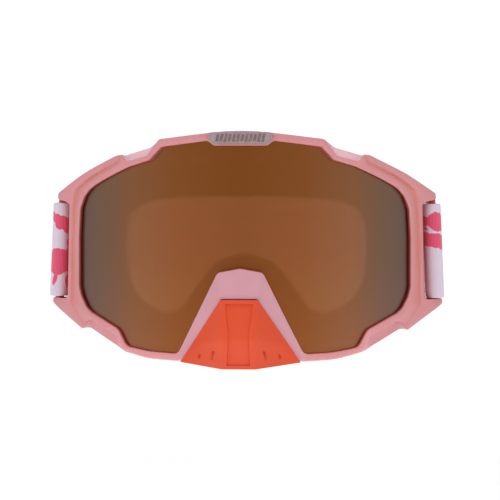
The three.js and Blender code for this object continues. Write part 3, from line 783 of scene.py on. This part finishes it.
def make_bar(side, material):
    """The strap bar between an ear's two tips, which runs back into them at its ends."""
    low, high = -BAR_HALF - 0.6, BAR_HALF + 1.6
    rows = []
    for k in range(49):
        z = low + (high - low) * k / 48
        sunk = min(1.0, max(0.0, abs(z) - 21.2))
        centre_x, centre_y = side * (BAR_X - LEAN * z), BAR_Y + 1.5 * sunk
        wide, deep = BAR_WIDE * BAR_RADIUS, BAR_RADIUS * (1 - 0.4 * sunk)
        angles = [2 * math.pi * c / 20 for c in range(20)]
        rows.append([(centre_x + wide * math.cos(a), centre_y + deep * math.sin(a), z) for a in angles])
    points, faces = tube(rows)
    name = "strap_bar_left" if side > 0 else "strap_bar_right"
    build(name, (points, faces), "frame", material, painted_light_tints=[BAR_SHADE] * len(points))


# ---------- chassis and foam ----------
CHASSIS_FLARE = {4: (0.3, 1.6), 5: (0.4, 1.4), 17: (0.3, -1.4), 18: (0.5, -2)}
CHASSIS_FRONT = SHELL_DEPTH + 0.4


def soft_loop(plan, xz, y_of_x):
    x, z = (plan @ np.array(xz, float)).T
    return whole(np.column_stack([x, y_of_x(x), z]))


def inside(outline, distance):
    return towards(outline, EYE_OPENING, distance)


def make_chassis(material):
    """The rear half of the frame: a wall from the shell to the face, a flange and cut vents."""
    plan = sampling(CHASSIS_EDGE, [min(c, 3) for c in SOFT_CUTS], 2.0)
    edge = []
    for i, (lens, shell, rear) in enumerate(zip(LENS_EDGE, SHELL_EDGE, CHASSIS_EDGE)):
        if i >= 22:
            edge.append(mix(lens, rear, 0.9))
        elif 8 < i < 17:
            edge.append(mix(rear, lens, 0.1))
        else:
            edge.append(np.array(shell, float) + CHASSIS_FLARE.get(i, (0, 0)))
    edge = np.array(edge)
    lip = mix(LENS_EDGE, EYE_OPENING, 0.17)
    wall, flange = 2.2, 1.8
    loops = []

    def add(xz, y_of_x, back=0.0):
        loops.append(soft_loop(plan, xz, lambda x: y_of_x(x) + back))

    def front(x):
        return front_y(x, CHASSIS_FRONT)

    def add_wall(shares, inset):
        for s in shares:
            xz = mix(towards(edge, EYE_OPENING, inset), inside(CHASSIS_EDGE, inset), s)
            add(xz, lambda x: front(x) * (1 - s) + face_y(x) * s)

    add(lip, front)
    add(towards(edge, lip, 0.5), front)
    add_wall((0.03, 0.2, 0.4, 0.6, 0.8, 0.95), 0.0)
    add(inside(CHASSIS_EDGE, 0.5), face_y)
    add(inside(CHASSIS_EDGE, 8.7), face_y)
    add(inside(CHASSIS_EDGE, 9.0), face_y, -0.35)
    add(inside(CHASSIS_EDGE, 9.0), face_y, -flange)
    add(inside(CHASSIS_EDGE, wall + 0.5), face_y, -flange)
    add_wall((0.8, 0.5, 0.2), wall)
    add(towards(edge, EYE_OPENING, wall), front, flange)
    add(lip, front, flange)
    piece = scratch("face_chassis_skin", *ring(loops))
    cutters = [vent_cutter(x, 12, 40, 60) for x in (-27, -9, 9, 27)]
    cutters += [vent_cutter(x, 8, -60, -38) for x in (-46, -33, 33, 46)]
    cut(piece, cutters)
    tidy(piece, 40)
    dress(piece, "frame", material, ["face_chassis"])


def vent_cutter(x, width, low, high):
    middle = (front_y(x, SHELL_DEPTH + 1) + face_y(x)) / 2 + 0.4
    slope = (front_y(x + 1) - front_y(x - 1)) / 2
    return prism(rounded_slot(width, 4.8), low, high,
                 lambda a, b, h: (x + a, middle + b + slope * a, h))


def foam_layer(name, start, end, material, node, crown=0.5, soft=0.9):
    """One layer of the face foam, between two shares of its depth, with soft edges and full sides."""
    plan = sampling(CHASSIS_EDGE, SOFT_CUTS, 2.2)
    outward = np.array(FOAM_OUTER, float) - np.array(EYE_OPENING, float)
    outward /= np.hypot(*outward.T)[:, None]
    soft = min(soft, (end - start) * FOAM_DEPTH * 0.4)
    loops = []

    def outer_at(t, grow=0.0):
        return mix(inside(CHASSIS_EDGE, 0.8), FOAM_OUTER, t) + grow * outward

    def inner_at(t, grow=0.0):
        return mix(inside(CHASSIS_EDGE, 9.6), EYE_OPENING, t) - grow * outward

    def loop(xz, t):
        loops.append(soft_loop(plan, xz, lambda x: face_y(x) + FOAM_DEPTH * t))

    def side(at, shares):
        for share in shares:
            t = start + (end - start) * share
            rounding = soft * (abs(2 * share - 1) ** 6)
            loop(at(t, crown * (1 - (2 * share - 1) ** 2) - rounding * 0.8), t)

    side(outer_at, [k / 6 for k in range(7)])
    for share in (0.12, 0.35, 0.65, 0.88):
        swell = 0.35 * math.sin(math.pi * share) / FOAM_DEPTH if end >= 1 else 0
        loop(mix(outer_at(end), inner_at(end), share), end + swell)
    side(inner_at, [1 - k / 6 for k in range(7)])
    for share in (0.88, 0.5, 0.12):
        loop(mix(outer_at(start), inner_at(start), share), start)
    piece = build(name, ring(loops), "frame", material, [node], 60)


def make_vent_foam(name, node, first, last, side, material):
    """A strip of foam inside the chassis wall, over its vents. Side 0 is both sides."""
    stations = np.linspace(first, last, 6 * (last - first) + 1)

    def along(distance):
        outline = inside(CHASSIS_EDGE, distance)
        return [np.interp(stations, np.arange(len(outline)), column) for column in outline.T]

    def wall(x, z, shares, ripple):
        front, back = front_y(x, CHASSIS_FRONT) + 2.6, face_y(x) - 2.6
        return [(x, front + (back - front) * s, z + ripple * math.sin(s * 19)) for s in shares]

    out, back = np.linspace(0, 1, 9), np.linspace(1, 0, 9)
    sections = []
    for ox, oz, ix, iz in zip(*along(3.4), *along(4.9)):
        sections.append(wall(ox, oz, out, 0.15) + wall(ix, iz, back, 0))
    others = [[(-x, y, z) for x, y, z in section] for section in sections]
    if side == 0:
        sections = others[:0:-1] + sections
    elif side < 0:
        sections = others
    build(name, tube(sections), "frame", material, [node], 50)


# ---------- lenses ----------
LENS_CUTS = [0, 1, 1, 3, 3, 1, 1, 1, 4, 4, 3, 2, 3, 3, 2, 2, 1, 1, 3, 3, 3, 2, 1, 3, 1, 1, 0]


def lens_sheet(name, node, outline_grow, front, back, material):
    """A curved sheet: columns from its lower to its upper edge, on two cylinders, closed at the rim."""
    x, z = (sampling(LENS_EDGE, LENS_CUTS, 1.5) @ towards(LENS_EDGE, SHELL_EDGE, outline_grow)).T
    widest = int(np.argmax(x))
    top, bottom = (x[:widest + 1], z[:widest + 1]), (x[widest:][::-1], z[widest:][::-1])
    across = (x[widest] - 0.02) * np.sin(np.linspace(-math.pi / 2, math.pi / 2, 121))
    half, rows = len(across), 31
    points = []
    for depth in (front, back):
        for c in across:
            high, low = np.interp(abs(c), *top), np.interp(abs(c), *bottom)
            y = front_y(c, depth)
            points += [(c, y, low + (high - low) * r / (rows - 1)) for r in range(rows)]
    faces = grid(rows, half, False) + grid(rows, half, False, first=half * rows)
    border = [(c, 0) for c in range(half)] + [(half - 1, r) for r in range(1, rows)]
    border += [(c, rows - 1) for c in range(half - 2, -1, -1)] + [(0, r) for r in range(rows - 2, 0, -1)]
    for (c, r), (c2, r2) in zip(border, border[1:] + border[:1]):
        a, b = c * rows + r, c2 * rows + r2
        faces.append((a, b, b + half * rows, a + half * rows))
    build(name, (points, faces), "frame", material, [node], 40)


def make_gasket(material):
    plan = sampling(LENS_EDGE, LENS_CUTS, 2.0)
    outer = towards(LENS_EDGE, SHELL_EDGE, 1.6)
    inner = mix(LENS_EDGE, EYE_OPENING, 0.1)
    middle = mix(outer, inner, 0.5)
    loops = []
    for xz, depth in [(outer, 4.4), (outer, 5.4), (outer, 6.4), (middle, 6.42), (inner, 6.4),
                      (mix(inner, outer, 0.06), 5.4), (inner, 4.4), (middle, 4.38)]:
        loops.append(soft_loop(plan, xz, lambda x: front_y(x, depth)))
    build("lens_gasket_ring", ring(loops), "frame", material, ["lens_gasket"], 50)


# ---------- brow badge ----------
BADGE = [(-13.9, 49.1), (-11.7, 47.3), (11.7, 47.3), (13.9, 49.1), (13.9, 52.2), (7, 52.9), (0, 53.1),
         (-7, 52.9), (-13.9, 52.2)]
BADGE_MIDDLE = 50.2
# Rings of the badge from its back edge to its sunk field: distance inwards, and depth.
BADGE_RINGS = [(0, -0.3), (0, -1.3), (0.12, -1.52), (0.3, -1.6), (0.62, -1.6), (0.75, -1.35)]
FIELD_DEPTH = -1.35
FIELD_STEPS = 12


def on_lens(x, z, depth):
    return (x, float(front_y(x, depth)), z)


def badge_ring(amount, depth):
    """The badge's outline drawn in by an amount, with six points to each side."""
    moved = []
    for x, z in BADGE:
        inward = np.array([0, BADGE_MIDDLE]) - (x * 0.82, z)
        inward = inward / np.hypot(*inward)
        moved.append((x + inward[0] * amount * 1.2, z + inward[1] * amount))
    points = []
    for (x, z), (x2, z2) in zip(moved, moved[1:] + moved[:1]):
        points += [on_lens(x + (x2 - x) * k / 6, z + (z2 - z) * k / 6, depth) for k in range(6)]
    return points


def make_badge(material):
    """A thin plate bent to the brow, with a sunk field."""
    rings = [badge_ring(amount, depth) for amount, depth in BADGE_RINGS]
    last = rings[-1]
    width = len(last)
    for k in range(1, FIELD_STEPS + 1):
        shrink = 1 - k / (FIELD_STEPS + 1)
        across_share = 0.25 + 0.75 * shrink
        rings.append([on_lens(x * across_share, BADGE_MIDDLE + (z - BADGE_MIDDLE) * shrink, FIELD_DEPTH)
                      for x, _, z in last])
    points = [p for row in rings for p in row]
    faces = grid(width, len(rings))
    faces.append(tuple(range(len(points) - width, len(points))))
    faces.append(tuple(range(width))[::-1])
    build("brow_badge_plate", (points, faces), "frame", material, ["brow_badge"], 30)


def make_badge_relief(material):
    """A plain row of raised slanted bars on the badge, in place of its lettering."""
    points, faces = [], []
    for k in range(12):
        x = -9.9 + 1.8 * k
        wide, tall, slant = 0.52, 1.75 if k % 3 else 1.5, 0.22
        corners = [(-wide, -tall), (wide, -tall), (wide, tall), (-wide, tall)]
        first = len(points)
        for grow, shorten, depth in [(1.0, 1.0, -1.33), (1.0, 1.0, -1.6), (0.6, 0.86, -1.72)]:
            points += [on_lens(x + a * grow + b * slant, 50.05 + b * shorten, depth) for a, b in corners]
        faces += grid(4, 3, first=first)
        faces.append((first + 8, first + 9, first + 10, first + 11))
        faces.append((first + 3, first + 2, first + 1, first))
    build("brow_badge_relief", (points, faces), "frame", material, sharp=25)


# ---------- nose guard ----------
# The guard's fold and its outer edge, at its top, its peak and its bottom: how far down, then z, y, x.
PEAK = 0.48
GUARD_FOLD = [(0.0, -18.6, -59.6, 7.7), (PEAK, -34.0, -66.5, 7.45), (1.0, -47.3, -65.4, 7.1)]
GUARD_EDGE = [(0.0, -18.6, -59.3, 8.0), (PEAK, -39.3, -51.0, 21.4), (1.0, -46.2, -48.7, 26.0)]
CHANNEL_TOP, CHANNEL_BOTTOM, CHANNEL_DEPTH, CHANNEL_RAMP = 0.05, 0.945, 0.95, 0.012
GUARD_SLOTS = [(11.1, -41.9, 4.2, 14), (17.1, -42.8, 2.1, 20)]  # x, z, length, turn in degrees


def guard_at(table, v, column):
    """A measure of the guard at a share of the way down, rounded where it peaks."""
    knots = [row[0] for row in table]
    values = [row[column] for row in table]
    if abs(v - PEAK) >= 0.05:
        return float(np.interp(v, knots, values))
    above, below = np.interp(PEAK - 0.05, knots, values), np.interp(PEAK + 0.05, knots, values)
    t = (v - (PEAK - 0.05)) / 0.1
    return float((1 - t) ** 2 * above + 2 * t * (1 - t) * values[1] + t * t * below)


def guard_row(v):
    """Half a section of the guard: along its front from the middle to the edge, and back inside."""
    fold_z, fold_y, fold = (guard_at(GUARD_FOLD, v, column) for column in (1, 2, 3))
    side_z, side_y, side = (guard_at(GUARD_EDGE, v, column) for column in (1, 2, 3))
    channel = float(np.interp(v, [0, PEAK, 1], [5.9, 4.15, 4.75]))
    ramp = min((v - CHANNEL_TOP) / CHANNEL_RAMP, (CHANNEL_BOTTOM - v) / CHANNEL_RAMP)
    sunk = CHANNEL_DEPTH * float(np.clip(ramp, 0, 1))
    panel = [(0, sunk), (channel * 0.5, sunk), (channel * 0.9, sunk), (channel - 0.15, sunk * 0.96),
             (channel + 0.05, sunk * 0.55), (channel + 0.25, 0.06 * sunk), (channel + 0.5, 0)]
    row = [(x, fold_y + d, fold_z) for x, d in panel]
    row.append((max(channel + 0.8, fold - 0.9), fold_y, fold_z))
    start, corner, rim = np.array([row[-1], (fold, fold_y, fold_z), (side, side_y, side_z)])
    end = corner + (rim - corner) * min(0.45, 1.1 / max(1e-6, np.linalg.norm(rim - corner)))
    for t in (0.25, 0.5, 0.75, 1.0):
        row.append(tuple((1 - t) ** 2 * start + 2 * t * (1 - t) * corner + t * t * end))
    slope = [end + (rim - end) * t for t in (0.2, 0.4, 0.6, 0.8, 0.93, 1.0)]
    row += [tuple(p) for p in slope]
    row.append(tuple(slope[-1] + (0.05, 0.5, 0)))
    row.append(tuple(slope[-1] + (-1.2, 2.0, 0)))
    row += [tuple(p + (-1.0, 2.2, 0)) for p in slope[-2::-1]]
    row.append((min(fold - 0.6, row[-1][0] - 0.3), fold_y + 2.3, fold_z))
    row.append((channel * 0.5, fold_y + 2.4, fold_z))
    row.append((0, fold_y + 2.4, fold_z))
    return row


def make_guard(material):
    """A folded shield: a middle panel with a sunk channel, two side panels and a rolled inner edge."""
    stops = {0, 0.012, 0.03, 0.05, 0.06, *np.linspace(0.075, 0.925, 40), 0.935, 0.945, 0.965, 0.985, 1.0}
    halves = [guard_row(v) for v in sorted(stops)]
    piece = scratch("nose_guard_shield", *tube([half + mirrored(half[1:-1]) for half in halves]))
    cutters = []
    for side in (1, -1):
        for x, z, tall, turn in GUARD_SLOTS:
            sine, cosine = math.sin(math.radians(turn)), math.cos(math.radians(turn))

            def place(a, b, h):
                return side * (x - a * sine + b * cosine), h, z + a * cosine + b * sine

            depth = piece.ray_cast(Vector((x, -200, z)) * MM, Vector((0, 1, 0)))[1].y / MM
            cutters.append(prism(rounded_slot(tall, 1.05), depth - 4, depth + 0.8, place))
    cut(piece, cutters)
    tongue = rounded_slot(7, 1.8)
    tongues = [prism(tongue, -52, -43, lambda a, b, h: (x + b, h, -39.5 + a)) for x in (17.5, -17.5)]
    cut(piece, tongues, "UNION")
    tidy(piece, 34)
    dress(piece, "nose_guard", material, ["nose_guard"])


# ---------- strap ----------
def rear_route(offset=0.0, first=0.0, steps=60):
    """The rear band's line in plan, from the hinge or further on to the middle of the back."""
    last = math.acos(REAR_FLAT / REAR_REACH)
    angles = [first + (last - first) * k / steps for k in range(steps + 1)]
    wide, deep = REAR_REACH - offset, REAR_BULGE - offset
    route = [(wide * math.cos(angle), REAR_Y + deep * math.sin(angle)) for angle in angles]
    return route + [(x, route[-1][1]) for x in (10.5, 7, 3.5, 0)]


def strap_route():
    """The webbing's middle line in plan for the left side, from its tail to the back of the head."""
    wide, deep = BAR_RADIUS * BAR_WIDE + 0.6 + STRAP_THICKNESS / 2, LOOP_RADIUS + STRAP_THICKNESS / 2

    def spread(share):
        ease = share * share * (3 - 2 * share)
        return wide + (LAYER_OFFSET - wide) * ease

    route = [(BAR_X - LAYER_OFFSET, y) for y in np.arange(TAIL_END_Y, BAR_Y + LOOP_CLOSES, -1.5)]
    route += [(BAR_X - spread(1 - k / 16), BAR_Y + LOOP_CLOSES * (1 - k / 16)) for k in range(17)]
    for k in range(1, 20):
        angle = math.pi * k / 20
        route.append((BAR_X - wide * math.cos(angle), BAR_Y - deep * math.sin(angle)))
    route += [(BAR_X + spread(k / 16), BAR_Y + LOOP_CLOSES * k / 16) for k in range(17)]
    route += [(BAR_X + LAYER_OFFSET, y) for y in np.arange(BAR_Y + LOOP_CLOSES + 1.5, HINGE_Y, 1.5)]
    return np.array(route + rear_route())


def across(route):
    """Unit vectors square to a route in plan."""
    tangent = np.gradient(route, axis=0)
    tangent /= np.hypot(*tangent.T)[:, None]
    return np.column_stack([tangent[:, 1], -tangent[:, 0]])


def leaning(point):
    """The straps lean outwards towards the bottom, less and less round the back."""
    x, y, z = point
    share = min(1.0, max(0.0, 1 - (y - HINGE_Y) / REAR_BULGE))
    side = math.copysign(1, x) if abs(x) > 1e-6 else 0
    return x - side * LEAN * z * share, y, z


def ribbon(route, width, thickness, centre_z):
    """Points, faces and flat coordinates of a band along a plan route, with soft selvedges."""
    steps = np.hypot(*(route[1:] - route[:-1]).T)
    along = np.concatenate([[0], np.cumsum(steps)])
    half, selvedge = width / 2, 0.9
    heights = [half - 0.02, half - 0.25, half - 0.9] + list(np.linspace(half - 3, -half + 3, 12))
    heights += [-half + 0.9, -half + 0.25, -half + 0.02]
    profile = []
    for h in heights:
        edge = half - abs(h)
        swell = 1.0 if edge > selvedge else 0.5 + 0.5 * math.sqrt(max(0, edge / selvedge))
        profile.append((h, swell * thickness / 2))
    section = profile + [(h, -t) for h, t in profile[::-1]]
    points, flat = [], []
    for (x, y), (nx, ny), s in zip(route, across(route), along):
        for h, t in section:
            points.append(leaning((x + nx * t, y + ny * t, centre_z + h)))
            flat.append((s, centre_z + h, 1.0 if t > 0 else 0.0))
    return points, tube_faces(len(section), len(route)), flat


def add_flat_coordinates(piece, flat, origin):
    """UV maps: metres along from the front of the bar, and height; and 1 on the printed face."""
    layer = piece.data.uv_layers.new(name="flat")
    face = piece.data.uv_layers.new(name="face")
    for loop in piece.data.loops:
        s, h, printed = flat[loop.vertex_index]
        layer.data[loop.index].uv = ((s - origin) * MM, h * MM)
        face.data[loop.index].uv = (printed, 0)


def make_webbing(side, material):
    sign, node = (1 if side == "left" else -1), "side_strap_" + side
    route = strap_route()
    front = int(np.argmin(route[:, 1]))
    origin = float(np.sum(np.hypot(*(route[1:] - route[:-1]).T)[:front]))
    points, faces, flat = ribbon(route, STRAP_WIDTH + 0.6, STRAP_THICKNESS, -0.2 * sign)
    points = [(sign * x, y, z) for x, y, z in points]
    if sign < 0:
        faces = [face[::-1] for face in faces]
    piece = new_object("webbing_" + side, points, faces)
    shade(piece, 50)
    add_flat_coordinates(piece, flat, origin)
    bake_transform(piece)
    dress(piece, None, material, [node] + (["rear_strap"] if side == "left" else []))


def make_bead(name, node, height, material):
    """A silicone line on the inner face of the rear strap, round-backed, with a slow wave."""
    route = rear_route(STRAP_THICKNESS / 2, 0.45, 48)
    route = np.array(route + mirrored(route[:-1]))
    inward = across(route)
    inward *= np.sign(np.sum(inward * ((0, 100.0) - route), axis=1))[:, None]
    half, tall = 1.3, 0.85
    rows = []
    for i, ((x, y), (nx, ny)) in enumerate(zip(route, inward)):
        taper = min(1.0, (min(i, len(route) - 1 - i) + 0.6) / 4)
        wave = 0.18 * math.sin(i * 0.9)
        row = []
        for angle in [math.pi * k / 8 for k in range(9)]:
            out = 0.06 + tall * taper * math.sin(angle)
            z = height + wave + half * taper * math.cos(angle)
            row.append(leaning((x + nx * out, y + ny * out, z)))
        for share in (0.2, 0.4, 0.6, 0.8):
            z = height - half * taper + 2 * half * taper * share
            row.append(leaning((x + nx * 0.03, y + ny * 0.03, z)))
        rows.append(row)
    build(name, tube(rows), "rear_strap", material, [node], 60)


STITCH_LENGTH = 1.5
STITCH_HEIGHTS = np.arange(2.5 - STRAP_WIDTH / 2, STRAP_WIDTH / 2 - 2.5, 2.1)


def stitch_run(name, places, lean, body, material):
    """Short raised stitches: each runs up from a point (x, y, z) on webbing that faces (x, y)."""
    points, faces = [], []
    for (x, y, z), facing in places:
        start, end = (np.array((x - math.copysign(lean, x) * h, y, h)) for h in (z, z + STITCH_LENGTH))
        out = np.array([*facing, 0])
        along = end - start
        sideways = np.cross(along / np.linalg.norm(along), out)
        first = len(points)
        for t in [k / 6 for k in range(7)]:
            lift = 0.05 + 0.22 * math.sin(math.pi * t)
            thick = 0.16 * (0.55 + 0.45 * math.sin(math.pi * t))
            centre = start + along * t + out * lift
            for angle in [2 * math.pi * c / 6 for c in range(6)]:
                points.append(tuple(centre + (sideways * math.cos(angle) + out * math.sin(angle)) * thick))
        faces += tube_faces(6, 7, first)
    build(name, (points, faces), body, material)


def make_stitching(side, material):
    """Two rows of stitches by the tail's end, on both faces of the doubled webbing."""
    sign = 1 if side == "left" else -1
    reach = LAYER_OFFSET + STRAP_THICKNESS / 2
    places = []
    for y in (78.5, 82.5):
        for z in STITCH_HEIGHTS:
            places.append(((sign * (BAR_X + reach), y, z), (sign, 0)))
            places.append(((sign * (BAR_X - reach), y, z), (-sign, 0)))
    stitch_run("tail_stitches_" + side, places, LEAN, "side_strap_" + side, material)


def make_rear_seam(material):
    """Two rows of stitches where the two halves of the strap are joined behind the head."""
    outer_y = strap_route()[-1][1] + STRAP_THICKNESS / 2
    places = []
    for x in (-2.2, 2.2):
        for z in STITCH_HEIGHTS:
            places.append(((x, outer_y, z), (0, 1)))
            places.append(((x, outer_y - STRAP_THICKNESS, z), (0, -1)))
    stitch_run("rear_seam_stitches", places, 0, "rear_strap", material)


# ---------- slider ----------
def scratch_box(x, y, z):
    points = [(a, b, c) for a in x for b in y for c in z]
    faces = [(0, 1, 3, 2), (4, 6, 7, 5), (0, 4, 5, 1), (2, 3, 7, 6), (0, 2, 6, 4), (1, 5, 7, 3)]
    return scratch("cutter", points, faces)


def make_slider(side, material):
    """A strap keeper: two rails joined by two bars outside the webbing and one inside it."""
    length, height, thickness, channel, bar = 26.0, 50.0, 8.4, 4.5, 6.0
    web = STRAP_WIDTH / 2 + 0.6
    window = (1.5 - web, web - 1.5)
    low, high = BAR_X - thickness / 2, BAR_X + thickness / 2
    ends = (SLIDER_Y - length / 2, SLIDER_Y + length / 2)
    piece = scratch_box((low, high), ends, (-height / 2, height / 2))
    cut(piece, [
        scratch_box((BAR_X - channel / 2, BAR_X + channel / 2), (0, 200), (-web, web)),
        scratch_box((BAR_X, high + 5), (ends[0] + bar, ends[1] - bar), window),
        scratch_box((low - 5, BAR_X), (0, SLIDER_Y - bar / 2), window),
        scratch_box((low - 5, BAR_X), (SLIDER_Y + bar / 2, 200), window),
    ])
    shape = bmesh.new()
    shape.from_mesh(piece.data)
    bmesh.ops.dissolve_limit(shape, angle_limit=math.radians(2), verts=shape.verts, edges=shape.edges)
    shape.to_mesh(piece.data)
    shape.free()
    add_bevel(piece, 0.75, 4)
    sign = 1 if side == "left" else -1
    for vertex in piece.data.vertices:
        x, y, z = (c / MM for c in vertex.co)
        vertex.co = Vector((sign * (x - LEAN * z), y, z)) * MM
    if sign < 0:
        piece.data.flip_normals()
    piece.name = "strap_keeper_" + side
    shade(piece, 30)
    dress(piece, "slider_" + side, material, ["strap_slider_" + side])


# ---------- camera, light and floor ----------
YAW, PITCH, CAMERA_DISTANCE, SIDE_SHIFT = -2.63, 2.5, 700.0, -1.9
FOCAL_SHARE = 1519 / 500  # focal length over the frame's width
SENSOR = 36
SKY = 0.52  # what the white world gives as light, and again to what the camera sees of it
FLOOR_HALF, FLOOR_Z = 1700, -400
# Name, place, size and power of each light. They all aim at the goggles.
LIGHTS = [
    ("top_softbox", (0.0, -0.25, 0.8), (1.2, 0.9), 3.8),
    ("front_softbox", (-0.15, -0.95, -0.36), (0.9, 0.9), 2.4),
    ("side_softbox", (-0.9, -0.5, 0.1), (0.7, 0.9), 2.0),
    ("side_softbox", (0.9, -0.5, 0.1), (0.7, 0.9), 2.0),
]


def add_camera():
    turn = Matrix.Rotation(math.radians(PITCH), 4, "X") @ Matrix.Rotation(math.radians(YAW), 4, "Z")
    back = turn.inverted()
    camera = bpy.data.cameras.new("Camera")
    camera.sensor_width = SENSOR
    camera.lens = SENSOR * FOCAL_SHARE
    camera.clip_start, camera.clip_end = 0.01, 50
    seat = bpy.data.objects.new("Camera", camera)
    bpy.context.scene.collection.objects.link(seat)
    place = back @ Vector((-SIDE_SHIFT, -CAMERA_DISTANCE, 0)) * MM
    looking = back.to_3x3() @ Matrix.Rotation(math.radians(90), 3, "X")
    seat.matrix_world = Matrix.Translation(place) @ looking.to_4x4()
    bpy.context.scene.camera = seat


def area_light(name, place, size, power):
    light = bpy.data.lights.new(name, "AREA")
    light.shape = "RECTANGLE"
    light.size, light.size_y = size
    light.energy = power
    holder = bpy.data.objects.new(name, light)
    holder.visible_glossy = False
    bpy.context.scene.collection.objects.link(holder)
    holder.location = place
    holder.rotation_euler = (-Vector(place)).to_track_quat("-Z", "Y").to_euler()


def add_world():
    world = bpy.data.worlds.new("Studio")
    bpy.context.scene.world = world
    world.use_nodes = True
    nodes, links = world.node_tree.nodes, world.node_tree.links
    glow = nodes["Background"]
    rays = nodes.new("ShaderNodeLightPath")
    strength = nodes.new("ShaderNodeMath")
    strength.operation = "MULTIPLY_ADD"
    links.new(rays.outputs["Is Camera Ray"], strength.inputs[0])
    strength.inputs[1].default_value = SKY
    strength.inputs[2].default_value = SKY
    links.new(strength.outputs[0], glow.inputs["Strength"])
    glow.inputs["Color"].default_value = rgb(1, 1, 1)


def add_floor():
    corners = [(FLOOR_HALF * x, FLOOR_HALF * y, FLOOR_Z) for x, y in ((-1, -1), (1, -1), (1, 1), (-1, 1))]
    floor = new_object("floor", corners, [(0, 1, 2, 3)])
    look = Look("floor_pale", Roughness=0.9, Emission_Strength=0.47, Emission_Color=rgb(1, 1, 1))
    look.colour(look.ramp(look.noise(3), [(0.4, (0.93, 0.93, 0.93)), (0.6, (0.95, 0.95, 0.95))]))
    floor.data.materials.append(look.material)


# ---------- assembly ----------
bpy.context.scene.view_settings.view_transform = "Standard"
add_camera()
add_world()
for light in LIGHTS:
    area_light(*light)
add_floor()
LOOKS = make_materials()
make_shell(LOOKS["shell"])
for side in (1, -1):
    make_bar(side, LOOKS["shell"])
make_chassis(LOOKS["pink"])
lens_sheet("outer_lens_sheet", "outer_lens", 2.2, 1.4, 3.0, LOOKS["lens"])
lens_sheet("inner_lens_sheet", "inner_lens", 1.6, 6.8, 7.8, LOOKS["clear"])
make_gasket(LOOKS["gasket"])
make_badge(LOOKS["badge"])
make_badge_relief(LOOKS["relief"])
make_guard(LOOKS["coral"])
make_vent_foam("top_vent_strip", "top_vent_foam", 0, 3, 0, LOOKS["ventfoam"])
make_vent_foam("lower_vent_strip_left", "lower_vent_foam_left", 19, 21, 1, LOOKS["ventfoam"])
make_vent_foam("lower_vent_strip_right", "lower_vent_foam_right", 19, 21, -1, LOOKS["ventfoam"])
foam_layer("face_foam_base", 0.025, 0.46, LOOKS["firm"], "face_foam_firm")
foam_layer("face_foam_cushion", 0.475, 0.87, LOOKS["soft"], "face_foam_soft")
foam_layer("face_fleece_layer", 0.885, 1.0, LOOKS["fleece"], "face_fleece", 0.35, 1.1)
for side in ("left", "right"):
    make_webbing(side, printed_webbing(side))
    make_slider(side, LOOKS["slider"])
    make_stitching(side, LOOKS["thread"])
make_rear_seam(LOOKS["thread"])
for level, height in [("upper", 12.5), ("middle", 0), ("lower", -12.5)]:
    make_bead("grip_line_" + level, "grip_bead_" + level, height, LOOKS["silicone"])
